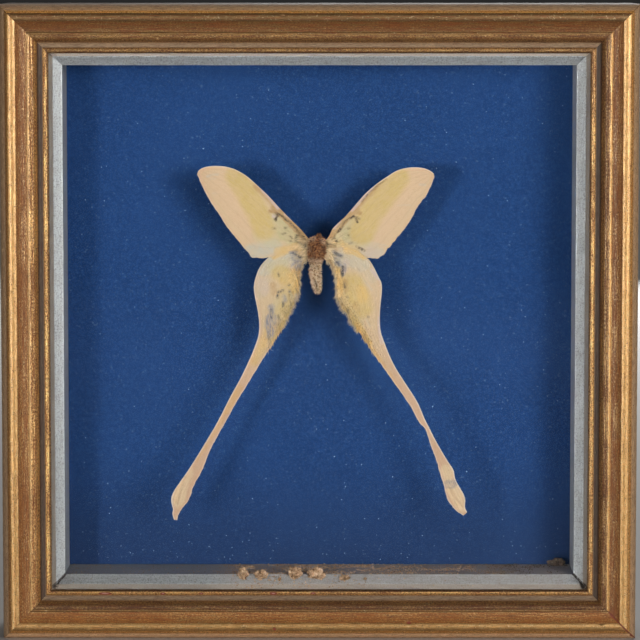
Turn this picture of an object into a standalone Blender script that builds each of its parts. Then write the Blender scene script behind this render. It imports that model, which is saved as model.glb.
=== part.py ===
# A moth with long tails, pinned in a square gilt box frame behind glass.
# Units are metres, +Z is up and the front of the frame looks along -Y.
# The origin is the centre of the frame's box, on the flat bottom edge it stands on.

import bmesh
import bpy
from math import asin, cos, pi, radians, sin
from mathutils import Matrix, Vector, noise

MM = 0.001
GAP = 0.3 * MM                       # clearance between pieces that touch

# Frame, outside and moulding
FRAME_SIDE = 254 * MM                # outer side of the square, ten inches
RAIL_WIDTH = 19 * MM                 # from the outer side to the sight edge
RAIL_DEPTH = 47 * MM                 # from the front ridge to the back
RABBET_WALL = 14 * MM                # wood left outside the rabbet
RABBET_FRONT = 7.0 * MM              # back face of the lip that holds the glass
MITRE_GAP = 0.15 * MM                # each piece stops this far short of the mitre

# What stands in the rabbet, each measured from the front ridge
CONTENT_SIDE = FRAME_SIDE - 2 * RABBET_WALL - 2 * GAP
GLASS_FRONT = RABBET_FRONT + GAP
GLASS_THICK = 2.0 * MM
SLIP_FRONT = GLASS_FRONT + GLASS_THICK + GAP
SLIP_BEVEL_DEPTH = 4.7 * MM          # how far back the sloping face runs
SLIP_DEPTH = 29.7 * MM               # slip and box wall are one board
SLIP_SIGHT = 205.2 * MM              # clear opening between the slips
SLIP_FACE = 215.8 * MM               # opening at the top of the slope
CARD_FRONT = SLIP_FRONT + SLIP_DEPTH + GAP
CARD_THICK = 1.5 * MM
BOARD_FRONT = CARD_FRONT + CARD_THICK + GAP
BOARD_THICK = 3.0 * MM

# Fixings on the back
BRAD_RADIUS = 0.5 * MM
BRAD_LENGTH = 12 * MM
BRAD_SPACING = 60 * MM               # either side of the middle of each rail
BRAD_START = 8 * MM                  # depth of its point in the wood, from outside
HANGER_SIZE = (44 * MM, 8 * MM, 0.8 * MM)
HANGER_TEETH = 9
HANGER_TOOTH_DEPTH = 1.8 * MM
HANGER_PLAIN_END = 4 * MM            # plain edge between the teeth and each round end
HANGER_NAIL_SPAN = 36 * MM
NAIL_RADIUS = 0.6 * MM
NAIL_HEAD = (1.6 * MM, 0.6 * MM)     # radius and thickness
NAIL_LENGTH = 8 * MM
HANGER_STAND = 2 * GAP + HANGER_SIZE[2] + NAIL_HEAD[1]

FRONT_Y = -(RAIL_DEPTH + HANGER_STAND) / 2
CENTRE_Z = FRAME_SIDE / 2

# Moth
MOTH_X = -1.1 * MM                   # middle of the thorax
MOTH_Z = 156.5 * MM
WING_HEIGHT = 20.4 * MM              # wing plane in front of the card
WING_THICK = 0.3 * MM
WING_STEP = 0.5 * MM                 # half the step between lapping wings
WING_CAMBER = 0.02                   # share of the width that the middle bows forward
VEIN_RIDGE = 0.012                   # share of the width that each vein stands up
VEIN_RIDGE_WIDTH = 9.0               # width in millimetres past which ridges grow no more
TAIL_LIFT = 6.5                      # millimetres that the tail tips rise to the glass
TAIL_RISE_LENGTH = 75                # millimetres of height over which they rise
CARD_Y = FRONT_Y + CARD_FRONT
WING_Y = CARD_Y - WING_HEIGHT
PIN_RADIUS = 0.3 * MM
PIN_IN_BOARD = 1.6 * MM
PIN_IN_BODY = 2.4 * MM

# Each rib of a wing: front edge x, z, then rear edge x, z, in millimetres from
# the middle of the thorax, from the root outwards. The right and the left are
# not quite alike: the dry wings were set by hand.
FOREWING_LEFT = [
    (-3.7, 3.6, -3.8, -0.4), (-6.0, 6.8, -7.5, -0.7), (-10.4, 11.2, -12.6, -2.0),
    (-14.7, 15.6, -18.8, -4.0), (-19.1, 20.4, -24.8, -4.4), (-21.2, 22.5, -26.4, -3.7),
    (-23.4, 24.5, -27.6, -2.1), (-27.8, 28.4, -32.6, 4.0), (-32.1, 31.0, -36.1, 8.3),
    (-36.0, 32.3, -39.1, 13.1), (-40.0, 32.7, -42.6, 18.4), (-43.5, 32.5, -45.2, 23.2),
    (-46.1, 31.7, -47.4, 28.0), (-47.5, 30.6, -47.9, 29.4)]
FOREWING_RIGHT = [
    (3.7, 1.6, 3.9, -2.6), (4.9, 4.4, 7.5, -3.2), (6.6, 7.6, 11.0, -3.8),
    (9.2, 10.2, 15.4, -4.2), (11.7, 12.5, 21.0, -4.4), (15.2, 16.6, 24.6, -4.6),
    (17.4, 19.1, 26.8, -3.2), (19.6, 21.6, 28.9, -0.6), (23.9, 25.3, 32.9, 4.4),
    (28.2, 28.3, 35.4, 7.6), (31.7, 30.5, 38.2, 11.9), (35.3, 31.7, 40.7, 16.6),
    (38.9, 32.1, 43.6, 20.2), (42.5, 31.8, 45.4, 23.8), (45.3, 30.8, 46.6, 26.7),
    (46.9, 29.6, 47.2, 28.4)]
HINDWING_LEFT = [
    (-3.9, 1.0, -3.8, -4.6), (-11.0, 0.8, -4.6, -6.6), (-16.5, -1.2, -5.6, -9.2),
    (-19.8, -4.5, -6.1, -12.3), (-22.7, -7.8, -6.2, -16.4), (-24.3, -11.5, -6.9, -19.4),
    (-25.3, -15.6, -8.7, -22.2), (-24.9, -19.8, -11.2, -27.2), (-23.9, -24.7, -13.6, -32.1),
    (-23.3, -28.8, -15.0, -34.6), (-23.1, -32.1, -16.5, -37.0), (-23.5, -35.8, -18.1, -39.6),
    (-24.8, -39.9, -19.8, -42.3), (-26.8, -44.8, -22.7, -46.9), (-30.5, -52.6, -27.2, -54.1),
    (-35.0, -60.8, -32.1, -62.2), (-39.6, -69.8, -37.2, -71.2), (-45.2, -79.4, -42.4, -80.6),
    (-50.5, -87.9, -45.7, -88.6), (-53.1, -91.8, -47.0, -91.6), (-55.3, -94.9, -48.6, -94.1),
    (-57.3, -97.8, -50.0, -96.9), (-58.5, -100.6, -50.8, -99.8), (-58.5, -102.9, -51.9, -102.2),
    (-57.9, -105.4, -54.6, -105.7), (-58.1, -107.4, -55.6, -107.5), (-57.5, -109.7, -56.3, -109.9)]
HINDWING_RIGHT = [
    (3.9, -0.6, 3.8, -4.8), (10.0, 0.0, 4.4, -6.6), (15.4, -0.8, 5.3, -8.6),
    (19.4, -3.8, 6.3, -11.0), (21.3, -5.4, 6.9, -14.5), (23.0, -8.2, 6.9, -17.3),
    (24.6, -11.5, 7.4, -20.4), (26.0, -14.4, 8.8, -23.1), (26.2, -17.8, 10.5, -25.0),
    (25.8, -21.4, 12.3, -26.8), (25.4, -26.3, 15.6, -32.5), (25.4, -31.3, 18.0, -35.8),
    (26.0, -35.0, 19.8, -38.4), (27.5, -39.1, 22.2, -42.0), (29.5, -44.0, 25.4, -46.4),
    (32.0, -48.9, 28.7, -50.9), (35.4, -54.2, 32.2, -55.9), (40.4, -62.0, 37.6, -63.6),
    (43.4, -68.8, 41.1, -69.9), (45.2, -72.3, 43.7, -73.2), (48.0, -77.8, 45.6, -78.6),
    (52.1, -84.8, 48.3, -86.0), (54.9, -89.2, 49.6, -90.4), (55.5, -92.0, 50.4, -93.0),
    (56.2, -94.0, 51.1, -95.3), (57.8, -96.8, 51.7, -98.0), (59.1, -99.1, 52.4, -100.5),
    (59.8, -101.5, 53.8, -103.0), (59.7, -104.5, 56.2, -105.8), (60.6, -106.4, 59.0, -107.9)]

# Rings of the body from the head down: height, middle x, half width, half depth,
# and how far the middle lies behind the wing plane, in millimetres.
BODY_RINGS = [
    (6.4, 0.9, 0.5, 0.5, -0.4), (5.6, 0.9, 1.2, 1.2, -0.4), (4.4, 0.8, 1.5, 1.7, -0.2),
    (3.3, 0.4, 2.3, 2.4, 0.0), (2.2, 0.1, 3.0, 3.2, 0.2), (0.4, 0.0, 3.2, 3.7, 0.3),
    (-2.0, 0.0, 3.2, 3.8, 0.4), (-4.0, -0.1, 3.0, 3.4, 0.6), (-5.4, -0.2, 2.6, 2.8, 0.8),
    (-8.0, -0.5, 2.7, 2.6, 1.3), (-11.5, -0.6, 2.8, 2.6, 1.5), (-14.3, 0.0, 2.7, 2.4, 1.6),
    (-17.1, 0.3, 2.2, 2.0, 1.7), (-19.0, 0.4, 1.3, 1.2, 1.7), (-19.9, 0.4, 0.5, 0.5, 1.7)]
BODY_SEGMENTS = 16
BODY_LUMPS = 0.05                    # share of the radius that the fur stands uneven
LUMP_SCALE = 1.7
LUMP_SCALE_DOWN = 0.45               # lumps along the body, for each millimetre

# One leg of each pair, tucked under the thorax: x, back of the wing plane, z
LEG_PAIRS = [
    [(1.0, 2.6, 1.6), (2.7, 5.0, 3.0), (1.8, 6.4, 0.6), (1.1, 6.9, -1.4)],
    [(1.2, 3.0, -0.6), (3.1, 5.4, 0.2), (2.2, 7.0, -2.4), (1.3, 7.4, -4.6)],
    [(1.1, 2.8, -2.8), (2.9, 5.2, -3.4), (2.1, 6.6, -6.4), (1.2, 6.8, -8.8)]]
LEG_RADIUS = 0.36 * MM

# Crumbs of dry frass: middle x, height of the middle over the slip's edge, half
# width, half height, half depth and distance from the front, in millimetres.
CRUMBS_ON_EDGE = [
    (-30.8, 0.3, 2.3, 2.6, 2.0, 13.0), (-23.4, 0.1, 2.9, 2.2, 2.2, 13.2),
    (-16.1, -1.7, 0.9, 0.9, 0.9, 12.6), (-9.6, 0.6, 3.5, 2.9, 2.6, 13.4),
    (-1.5, 0.3, 4.2, 2.5, 2.4, 13.2), (10.1, -1.1, 2.8, 1.4, 1.8, 12.4),
    (18.5, -1.6, 0.8, 0.8, 0.8, 12.6)]
CRUMB_IN_CORNER = (97.6, 1.5, 4.0, 1.9, 1.6, 36.2)
CRUMB_ROUGHNESS = 0.28
CRUMB_LUMP_SCALE = 2.3
CRUMB_REACH = 3 * MM                 # how far the seat's cutter stands out in front
SLOPE_GAP = 0.42 * GAP               # the clearance along the slope, where it falls back


def clear_scene():
    for item in list(bpy.data.objects):
        bpy.data.objects.remove(item, do_unlink=True)


def new_collection(name):
    collection = bpy.data.collections.new(name)
    bpy.context.scene.collection.children.link(collection)
    return collection


def make_material(name, colour, roughness, metallic=0.0, transmission=0.0):
    material = bpy.data.materials.new(name)
    material.use_nodes = True
    shader = material.node_tree.nodes["Principled BSDF"]
    shader.inputs["Base Color"].default_value = (*colour, 1.0)
    shader.inputs["Roughness"].default_value = roughness
    shader.inputs["Metallic"].default_value = metallic
    shader.inputs["Transmission Weight"].default_value = transmission
    material.diffuse_color = (*colour, 1.0)
    return material


def put(item, collection, material=None):
    for home in list(item.users_collection):
        home.objects.unlink(item)
    collection.objects.link(item)
    if material:
        item.data.materials.clear()
        item.data.materials.append(material)
    return item


def as_cutter(item):
    put(item, cutters)
    item.hide_render = True
    item.display_type = "WIRE"
    return item


def boolean(item, other, operation="DIFFERENCE"):
    step = item.modifiers.new(operation.title(), "BOOLEAN")
    step.operation = operation
    step.solver = "EXACT"
    step.object = other


def mesh_object(name, mesh, collection, material=None):
    item = bpy.data.objects.new(name, mesh)
    collection.objects.link(item)
    if material:
        mesh.materials.append(material)
    return item


def curve_to_mesh(curve_object, name, collection, material=None):
    # The curve's caps are loose, so they are welded on.
    bpy.context.view_layer.update()
    graph = bpy.context.evaluated_depsgraph_get()
    mesh = bpy.data.meshes.new_from_object(curve_object.evaluated_get(graph))
    place = curve_object.matrix_world.copy()
    bpy.data.objects.remove(curve_object, do_unlink=True)
    mesh.name = name
    work = bmesh_from(mesh)
    bmesh.ops.remove_doubles(work, verts=work.verts, dist=0.00002)
    bmesh.ops.recalc_face_normals(work, faces=work.faces)
    write_back(work, mesh)
    item = mesh_object(name, mesh, collection, material)
    item.matrix_world = place
    return item


def bmesh_from(mesh):
    work = bmesh.new()
    work.from_mesh(mesh)
    return work


def write_back(work, mesh):
    work.to_mesh(mesh)
    work.free()
    mesh.update()


def extrude_outline(name, outline, thickness, collection, material=None):
    # A flat outline in local X and Y, as thick as asked along local Z.
    data = bpy.data.curves.new(name, "CURVE")
    data.dimensions = "2D"
    data.fill_mode = "BOTH"
    data.extrude = thickness / 2
    spline = data.splines.new("POLY")
    spline.points.add(len(outline) - 1)
    for point, (x, y) in zip(spline.points, outline):
        point.co = (x, y, 0, 1)
    spline.use_cyclic_u = True
    curve_object = bpy.data.objects.new(name, data)
    collection.objects.link(curve_object)
    return curve_to_mesh(curve_object, name, collection, material)


def cylinder(name, radius, length, matrix, collection, material=None, sides=12):
    bpy.ops.mesh.primitive_cylinder_add(vertices=sides, radius=radius, depth=length)
    item = bpy.context.object
    item.name = name
    item.data.name = name
    item.matrix_world = matrix
    return put(item, collection, material)


def panel(name, front, thickness, material):
    # A square sheet standing in the rabbet.
    bpy.ops.mesh.primitive_cube_add(size=1)
    item = bpy.context.object
    item.name = name
    item.data.name = name
    item.data.transform(Matrix.Diagonal((CONTENT_SIDE, thickness, CONTENT_SIDE, 1)))
    item.location = (0, FRONT_Y + front + thickness / 2, CENTRE_Z)
    return put(item, parts, material)


def arc_to(points, end, bulge, steps):
    # A circular arc from the last point; a positive bulge swells to the front.
    start = Vector(points[-1])
    chord = Vector(end) - start
    along = chord.normalized()
    out = Vector((along.y, -along.x)) * (1 if bulge > 0 else -1)
    rise = abs(bulge)
    radius = (chord.length ** 2 / 4 + rise ** 2) / (2 * rise)
    half_angle = asin(min(1.0, chord.length / 2 / radius))
    middle = start + chord / 2 - out * (radius - rise)
    for step in range(1, steps):
        turn = half_angle * (2 * step / steps - 1)
        spot = middle + along * (radius * sin(turn)) + out * (radius * cos(turn))
        points.append((spot.x, spot.y))
    points.append(end)


def rail_section():
    # Distance in from the outer side, and distance back from the front ridge:
    # the moulded face in millimetres, then the lip and the rabbet.
    points = [(0, 6.5)]
    arc_to(points, (2.8, 1.5), 0.8, 7)           # dark rounded shoulder
    arc_to(points, (3.5, 1.3), -0.2, 2)          # quirk beside the ridge
    arc_to(points, (6.3, 1.3), 1.3, 9)           # bright front ridge
    arc_to(points, (10.5, 3.6), -0.75, 7)        # scoop
    arc_to(points, (11.3, 3.1), 0.15, 3)         # thin raised line
    arc_to(points, (13.7, 3.7), 0.35, 5)         # mottled band
    arc_to(points, (14.3, 4.9), -0.1, 2)         # drop to the cove
    arc_to(points, (16.6, 5.6), -0.4, 5)         # cove
    arc_to(points, (19.0, 6.0), 0.9, 7)          # sight bead
    face = [(u * MM, h * MM) for u, h in points]
    return face + [(RAIL_WIDTH, RABBET_FRONT), (RABBET_WALL, RABBET_FRONT),
                   (RABBET_WALL, RAIL_DEPTH), (0, RAIL_DEPTH)]


def slip_section():
    outer = CONTENT_SIDE / 2
    bevel_top = outer - SLIP_FACE / 2
    bevel_foot = outer - SLIP_SIGHT / 2
    back = SLIP_FRONT + SLIP_DEPTH
    return [(0, SLIP_FRONT), (bevel_top, SLIP_FRONT), (bevel_foot, SLIP_FRONT + SLIP_BEVEL_DEPTH),
            (bevel_foot, back), (0, back)]


def side_matrix(quarter, inset):
    # Local X runs in from one side of the square, local Y runs back from the
    # front and local Z runs along the side: 0 bottom, 1 left, 2 top, 3 right.
    axes = Matrix(((0, 0, -1, 0), (0, 1, 0, FRONT_Y), (1, 0, 0, inset), (0, 0, 0, 1)))
    centre = Matrix.Translation((0, 0, CENTRE_Z))
    return centre @ Matrix.Rotation(radians(90) * quarter, 4, "Y") @ centre.inverted() @ axes


def mitred_length(name, section, outer_side, quarter, material):
    # A length of moulding whose ends follow the mitre.
    item = extrude_outline(name, section, outer_side, parts, material)
    for vertex in item.data.vertices:
        end = 1 if vertex.co.z > 0 else -1
        vertex.co.z = end * (outer_side / 2 - vertex.co.x - MITRE_GAP * 2 ** 0.5)
    item.matrix_world = side_matrix(quarter, (FRAME_SIDE - outer_side) / 2)
    return item


def build_frame():
    rails = []
    for quarter, side in enumerate(("bottom", "left", "top", "right")):
        rails.append(mitred_length("rail_" + side, rail_section(), FRAME_SIDE, quarter, gilt))
        mitred_length("slip_" + side, slip_section(), CONTENT_SIDE, quarter, silver)
    panel("glass", GLASS_FRONT, GLASS_THICK, clear)
    card = panel("backing_card", CARD_FRONT, CARD_THICK, blue)
    board = panel("backboard", BOARD_FRONT, BOARD_THICK, hardboard)
    return rails, card, board


def build_brads(rails):
    # Steel brads driven into the rabbet wall, two a side, over the backboard.
    across = Matrix.Rotation(radians(90), 4, "Y")
    back = BOARD_FRONT + BOARD_THICK + GAP + BRAD_RADIUS
    for quarter, rail in enumerate(rails):
        for number, offset in enumerate((-BRAD_SPACING, BRAD_SPACING)):
            place = side_matrix(quarter, 0)
            spot = (BRAD_START + BRAD_LENGTH / 2, back, offset)
            name = "brad_" + str(2 * quarter + number + 1)
            cylinder(name, BRAD_RADIUS, BRAD_LENGTH, place @ Matrix.Translation(spot) @ across,
                     parts, steel, 8)
            hole = (BRAD_START + BRAD_LENGTH / 2 - GAP, back, offset)
            bore = cylinder(name + "_bore", BRAD_RADIUS + GAP, BRAD_LENGTH,
                            place @ Matrix.Translation(hole) @ across, cutters, None, 8)
            boolean(rail, as_cutter(bore))


def hanger_outline():
    # A plate with round ends and a row of teeth along its lower edge.
    width, height, _ = HANGER_SIZE
    radius = height / 2
    points = []
    for step in range(9):
        turn = radians(-90 + 180 * step / 8)
        points.append((width / 2 - radius + radius * cos(turn), radius * sin(turn)))
    for step in range(9):
        turn = radians(90 + 180 * step / 8)
        points.append((-width / 2 + radius + radius * cos(turn), radius * sin(turn)))
    row = width - 2 * radius - 2 * HANGER_PLAIN_END
    for tooth in range(HANGER_TEETH):
        left = -row / 2 + row * tooth / HANGER_TEETH
        middle = left + row / HANGER_TEETH / 2
        points.append((left, -radius))
        points.append((middle, -radius + HANGER_TOOTH_DEPTH))
    points.append((row / 2, -radius))
    return points


def build_hanger(rail):
    # Sawtooth hanger nailed to the back of the top rail.
    back_y = FRONT_Y + RAIL_DEPTH
    height = FRAME_SIDE - RABBET_WALL / 2
    plate = extrude_outline("hanger", hanger_outline(), HANGER_SIZE[2], parts, steel)
    upright = Matrix.Rotation(radians(90), 4, "X")
    middle = back_y + GAP + HANGER_SIZE[2] / 2
    plate.matrix_world = Matrix.Translation((0, middle, height)) @ upright
    head_radius, head_thick = NAIL_HEAD
    for side, name in ((-1, "hanger_nail_1"), (1, "hanger_nail_2")):
        x = side * HANGER_NAIL_SPAN / 2
        head_y = back_y + HANGER_STAND - head_thick / 2
        nail = cylinder(name, head_radius, head_thick,
                        Matrix.Translation((x, head_y, height)) @ upright, parts, steel)
        shank_y = head_y - NAIL_LENGTH / 2
        shank = cylinder(name + "_shank", NAIL_RADIUS, NAIL_LENGTH,
                         Matrix.Translation((x, shank_y, height)) @ upright, cutters)
        boolean(nail, as_cutter(shank), "UNION")
        bore = cylinder(name + "_bore", NAIL_RADIUS + GAP, NAIL_LENGTH,
                        Matrix.Translation((x, shank_y - GAP, height)) @ upright, cutters)
        boolean(plate, as_cutter(bore))
        boolean(rail, bore)


def smooth_ribs(ribs, splits):
    # A smooth curve through the ribs, with extra ribs between them.
    rows = []
    count = len(ribs)
    for index in range(count - 1):
        before = ribs[max(index - 1, 0)]
        start, end = ribs[index], ribs[index + 1]
        after = ribs[min(index + 2, count - 1)]
        for step in range(splits):
            t = step / splits
            row = []
            for a, b, c, d in zip(before, start, end, after):
                row.append(0.5 * (2 * b + (c - a) * t + (2 * a - 5 * b + 4 * c - d) * t * t
                                  + (3 * b - a - 3 * c + d) * t ** 3))
            rows.append(row)
    rows.append(list(ribs[-1]))
    return rows


def ease(value):
    value = min(max(value, 0.0), 1.0)
    return value * value * (3 - 2 * value)


def build_wing(name, ribs, step, tail_start, tail_lift, across, splits):
    # A thin sheet lofted from rib to rib, cambered, ridged along its veins, and
    # rising towards the glass down the tail.
    rows = smooth_ribs(ribs, splits)
    vertices = []
    for number, (front_x, front_z, rear_x, rear_z) in enumerate(rows):
        width = ((front_x - rear_x) ** 2 + (front_z - rear_z) ** 2) ** 0.5
        lift = tail_lift * ease((tail_start - (front_z + rear_z) / 2) / TAIL_RISE_LENGTH)
        for column in range(across + 1):
            t = column / across
            camber = WING_CAMBER * width * 4 * t * (1 - t)
            ridge = VEIN_RIDGE * min(width, VEIN_RIDGE_WIDTH) * (1 if column % 2 else -1)
            if number == 0:
                ridge = 0
            forward = lift + camber + ridge
            vertices.append((MOTH_X + (front_x + (rear_x - front_x) * t) * MM,
                             WING_Y - step - forward * MM,
                             MOTH_Z + (front_z + (rear_z - front_z) * t) * MM))
    faces = []
    wide = across + 1
    for row in range(len(rows) - 1):
        for column in range(across):
            corner = row * wide + column
            faces.append((corner, corner + 1, corner + wide + 1, corner + wide))
    mesh = bpy.data.meshes.new(name)
    mesh.from_pydata(vertices, [], faces)
    mesh.update()
    item = mesh_object(name, mesh, parts, scales)
    sheet = item.modifiers.new("Thickness", "SOLIDIFY")
    sheet.thickness = WING_THICK
    sheet.offset = 0
    return item


def build_body():
    rings = smooth_ribs(BODY_RINGS, 2)
    vertices = []
    for height, middle, half_width, half_depth, behind in rings:
        for segment in range(BODY_SEGMENTS):
            turn = 2 * pi * segment / BODY_SEGMENTS
            way = Vector((cos(turn), sin(turn), height * LUMP_SCALE_DOWN))
            lump = 1 + BODY_LUMPS * noise.noise(way * LUMP_SCALE)
            vertices.append((MOTH_X + (middle + half_width * lump * cos(turn)) * MM,
                             WING_Y + (behind + half_depth * lump * sin(turn)) * MM,
                             MOTH_Z + height * MM))
    faces = []
    for ring in range(len(rings) - 1):
        for segment in range(BODY_SEGMENTS):
            following = (segment + 1) % BODY_SEGMENTS
            a = ring * BODY_SEGMENTS
            faces.append((a + segment, a + following, a + BODY_SEGMENTS + following,
                          a + BODY_SEGMENTS + segment))
    faces.append(tuple(range(BODY_SEGMENTS)))
    faces.append(tuple(range(len(vertices) - BODY_SEGMENTS, len(vertices))))
    mesh = bpy.data.meshes.new("moth_body")
    mesh.from_pydata(vertices, [], faces)
    work = bmesh_from(mesh)
    bmesh.ops.recalc_face_normals(work, faces=work.faces)
    write_back(work, mesh)
    return mesh_object("moth_body", mesh, parts, fur)


def build_legs(body):
    # Six dry legs folded under the thorax, grown into the body.
    for pair, route in enumerate(LEG_PAIRS):
        for side in (-1, 1):
            data = bpy.data.curves.new("leg", "CURVE")
            data.dimensions = "3D"
            data.bevel_depth = LEG_RADIUS
            data.bevel_resolution = 1
            data.use_fill_caps = True
            spline = data.splines.new("POLY")
            spline.points.add(len(route) - 1)
            for point, (x, back, z) in zip(spline.points, route):
                spot = (MOTH_X + side * x * MM, WING_Y + back * MM, MOTH_Z + z * MM)
                point.co = (*spot, 1)
            name = "leg_" + str(pair + 1) + ("_left" if side < 0 else "_right")
            leg = bpy.data.objects.new(name, data)
            cutters.objects.link(leg)
            boolean(body, as_cutter(curve_to_mesh(leg, name, cutters)), "UNION")


def build_pin(body, card, board):
    # A headless pin from the thorax, through the card, into the backboard.
    upright = Matrix.Rotation(radians(90), 4, "X")
    inner_end = WING_Y - PIN_IN_BODY
    outer_end = FRONT_Y + BOARD_FRONT + PIN_IN_BOARD
    length = outer_end - inner_end
    middle = (inner_end + outer_end) / 2
    place = Matrix.Translation((MOTH_X, middle, MOTH_Z - 0.5 * MM)) @ upright
    cylinder("pin", PIN_RADIUS, length, place, parts, steel, 8)
    bore = cylinder("pin_bore", PIN_RADIUS + GAP, length + 2 * GAP, place, cutters, None, 8)
    as_cutter(bore)
    for item in (body, card, board):
        boolean(item, bore)


def build_crumb(name, place, detail, seat):
    x, height, half_width, half_height, half_depth, depth = place
    edge_z = CENTRE_Z - SLIP_SIGHT / 2
    bpy.ops.mesh.primitive_ico_sphere_add(subdivisions=detail, radius=1)
    item = bpy.context.object
    item.name = name
    item.data.name = name
    for vertex in item.data.vertices:
        way = vertex.co.normalized()
        rough = 1 + CRUMB_ROUGHNESS * noise.noise(way * CRUMB_LUMP_SCALE + Vector((x, 0, 0)))
        reach = rough * MM
        vertex.co = Vector((way.x * half_width, way.y * half_depth, way.z * half_height)) * reach
    item.location = (x * MM, FRONT_Y + depth * MM, edge_z + height * MM)
    put(item, parts, frass)
    boolean(item, seat)


def build_crumbs():
    # Crumbs lie over the bottom slip's edge; one lies in the right rear corner.
    outer_top, bevel_top, bevel_foot, wall_foot, outer_foot = slip_section()
    grown = [(outer_top[0], outer_top[1] - CRUMB_REACH),
             (bevel_top[0] + GAP, bevel_top[1] - CRUMB_REACH),
             (bevel_top[0] + GAP, bevel_top[1] - SLOPE_GAP),
             (bevel_foot[0] + GAP, bevel_foot[1] - SLOPE_GAP),
             (wall_foot[0] + GAP, wall_foot[1]), outer_foot]
    seat = extrude_outline("crumb_seat", grown, CONTENT_SIDE, cutters)
    seat.matrix_world = side_matrix(0, (FRAME_SIDE - CONTENT_SIDE) / 2)
    as_cutter(seat)
    for number, place in enumerate(CRUMBS_ON_EDGE + [CRUMB_IN_CORNER]):
        detail = 3 if place[2] > 2 else 2
        build_crumb("crumb_" + str(number + 1), place, detail, seat)


clear_scene()
parts = new_collection("framed_moth")
cutters = new_collection("cutters")

gilt = make_material("gilt", (0.42, 0.24, 0.08), 0.38, 0.6)
silver = make_material("silver_slip", (0.36, 0.36, 0.37), 0.5, 0.2)
clear = make_material("clear_glass", (0.95, 0.98, 0.96), 0.02, 0.0, 1.0)
blue = make_material("blue_card", (0.024, 0.062, 0.175), 0.85)
hardboard = make_material("hardboard", (0.17, 0.09, 0.045), 0.75)
steel = make_material("steel", (0.45, 0.44, 0.42), 0.35, 1.0)
scales = make_material("wing_scales", (0.66, 0.5, 0.3), 0.7)
fur = make_material("moth_fur", (0.3, 0.16, 0.08), 0.95)
frass = make_material("frass", (0.45, 0.27, 0.13), 0.95)

frame_rails, backing_card, backboard = build_frame()
build_brads(frame_rails)
build_hanger(frame_rails[2])

# The left forewing laps over its hindwing; on the right the hindwing is in front.
build_wing("forewing_left", FOREWING_LEFT, WING_STEP, -35, 0, 8, 2)
build_wing("hindwing_left", HINDWING_LEFT, -WING_STEP, -38, TAIL_LIFT, 6, 1)
build_wing("forewing_right", FOREWING_RIGHT, -WING_STEP, -35, 0, 8, 2)
build_wing("hindwing_right", HINDWING_RIGHT, WING_STEP, -20, TAIL_LIFT, 6, 1)

moth_body = build_body()
build_legs(moth_body)
build_pin(moth_body, backing_card, backboard)
build_crumbs()
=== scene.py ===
from math import asin, cos, pi, radians, sin, sqrt

import bpy
import bmesh
import numpy as np
from mathutils import Matrix, Vector, noise


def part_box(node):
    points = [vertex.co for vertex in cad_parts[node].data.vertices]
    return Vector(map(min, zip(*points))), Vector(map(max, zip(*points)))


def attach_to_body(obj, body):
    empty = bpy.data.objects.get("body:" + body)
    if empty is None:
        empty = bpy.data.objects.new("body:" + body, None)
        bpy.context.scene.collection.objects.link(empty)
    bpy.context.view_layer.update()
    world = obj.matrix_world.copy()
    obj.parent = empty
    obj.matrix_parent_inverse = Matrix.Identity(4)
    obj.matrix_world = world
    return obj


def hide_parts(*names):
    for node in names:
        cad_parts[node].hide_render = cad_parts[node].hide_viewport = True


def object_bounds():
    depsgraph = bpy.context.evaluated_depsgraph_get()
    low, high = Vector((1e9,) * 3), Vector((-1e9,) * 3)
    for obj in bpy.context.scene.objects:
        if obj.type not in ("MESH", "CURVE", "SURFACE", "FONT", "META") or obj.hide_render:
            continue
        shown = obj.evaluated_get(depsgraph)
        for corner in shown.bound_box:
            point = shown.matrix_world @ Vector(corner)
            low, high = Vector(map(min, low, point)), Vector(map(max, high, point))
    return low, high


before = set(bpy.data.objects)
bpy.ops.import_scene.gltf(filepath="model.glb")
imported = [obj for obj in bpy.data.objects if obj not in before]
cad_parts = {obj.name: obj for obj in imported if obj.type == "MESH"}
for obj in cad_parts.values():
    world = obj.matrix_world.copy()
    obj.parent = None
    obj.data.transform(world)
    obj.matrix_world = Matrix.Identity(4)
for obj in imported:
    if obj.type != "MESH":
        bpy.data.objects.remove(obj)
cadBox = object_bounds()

mm = 0.001
print("A pinned moth in a gilt box frame")

# The frame's own measures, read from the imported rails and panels
frameSide = cadBox[1].z - cadBox[0].z
railDepth = 47 * mm
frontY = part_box("rail_bottom")[1].y - railDepth
centreZ = frameSide / 2
halfSide = frameSide / mm / 2            # in millimetres, like every size below
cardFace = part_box("backing_card")[0].y


# Camera, floor and lights

cameraSetup = {
    "place": (0.00354, -1.5, 0.27147),
    "tilt": 84.482,                      # degrees from straight down
    "turn": 0.127,
    "lens": 209.8,                       # long lens on a 36 mm sensor
}

lightSetup = {
    "leftLamp": {"angle": -30.5, "rise": 0.0, "away": 1.5, "size": 0.30, "watts": 5.7},
    "rightLamp": {"angle": 30.5, "rise": 9.0, "away": 1.5, "size": 0.62, "watts": 8.7},
    "backFill": {"place": (0.35, 1.5, 0.55), "size": 1.0, "watts": 10.0},
    "ceiling": {"place": (0.0, 7.0, 6.0), "size": 6.0, "watts": 110.0},
    "roomLight": 0.02,
}

floorSetup = {"size": 40.0, "colour": (0.62, 0.61, 0.59), "roughness": 0.85}


def addObject(name, data):
    thing = bpy.data.objects.new(name, data)
    bpy.context.scene.collection.objects.link(thing)
    return thing


def areaLamp(name, place, target, size, watts):
    data = bpy.data.lights.new(name, "AREA")
    data.shape = "DISK"
    data.size = size
    data.energy = watts
    lamp = addObject(name, data)
    lamp.location = place
    lamp.rotation_euler = (Vector(target) - lamp.location).to_track_quat("-Z", "Y").to_euler()


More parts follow.
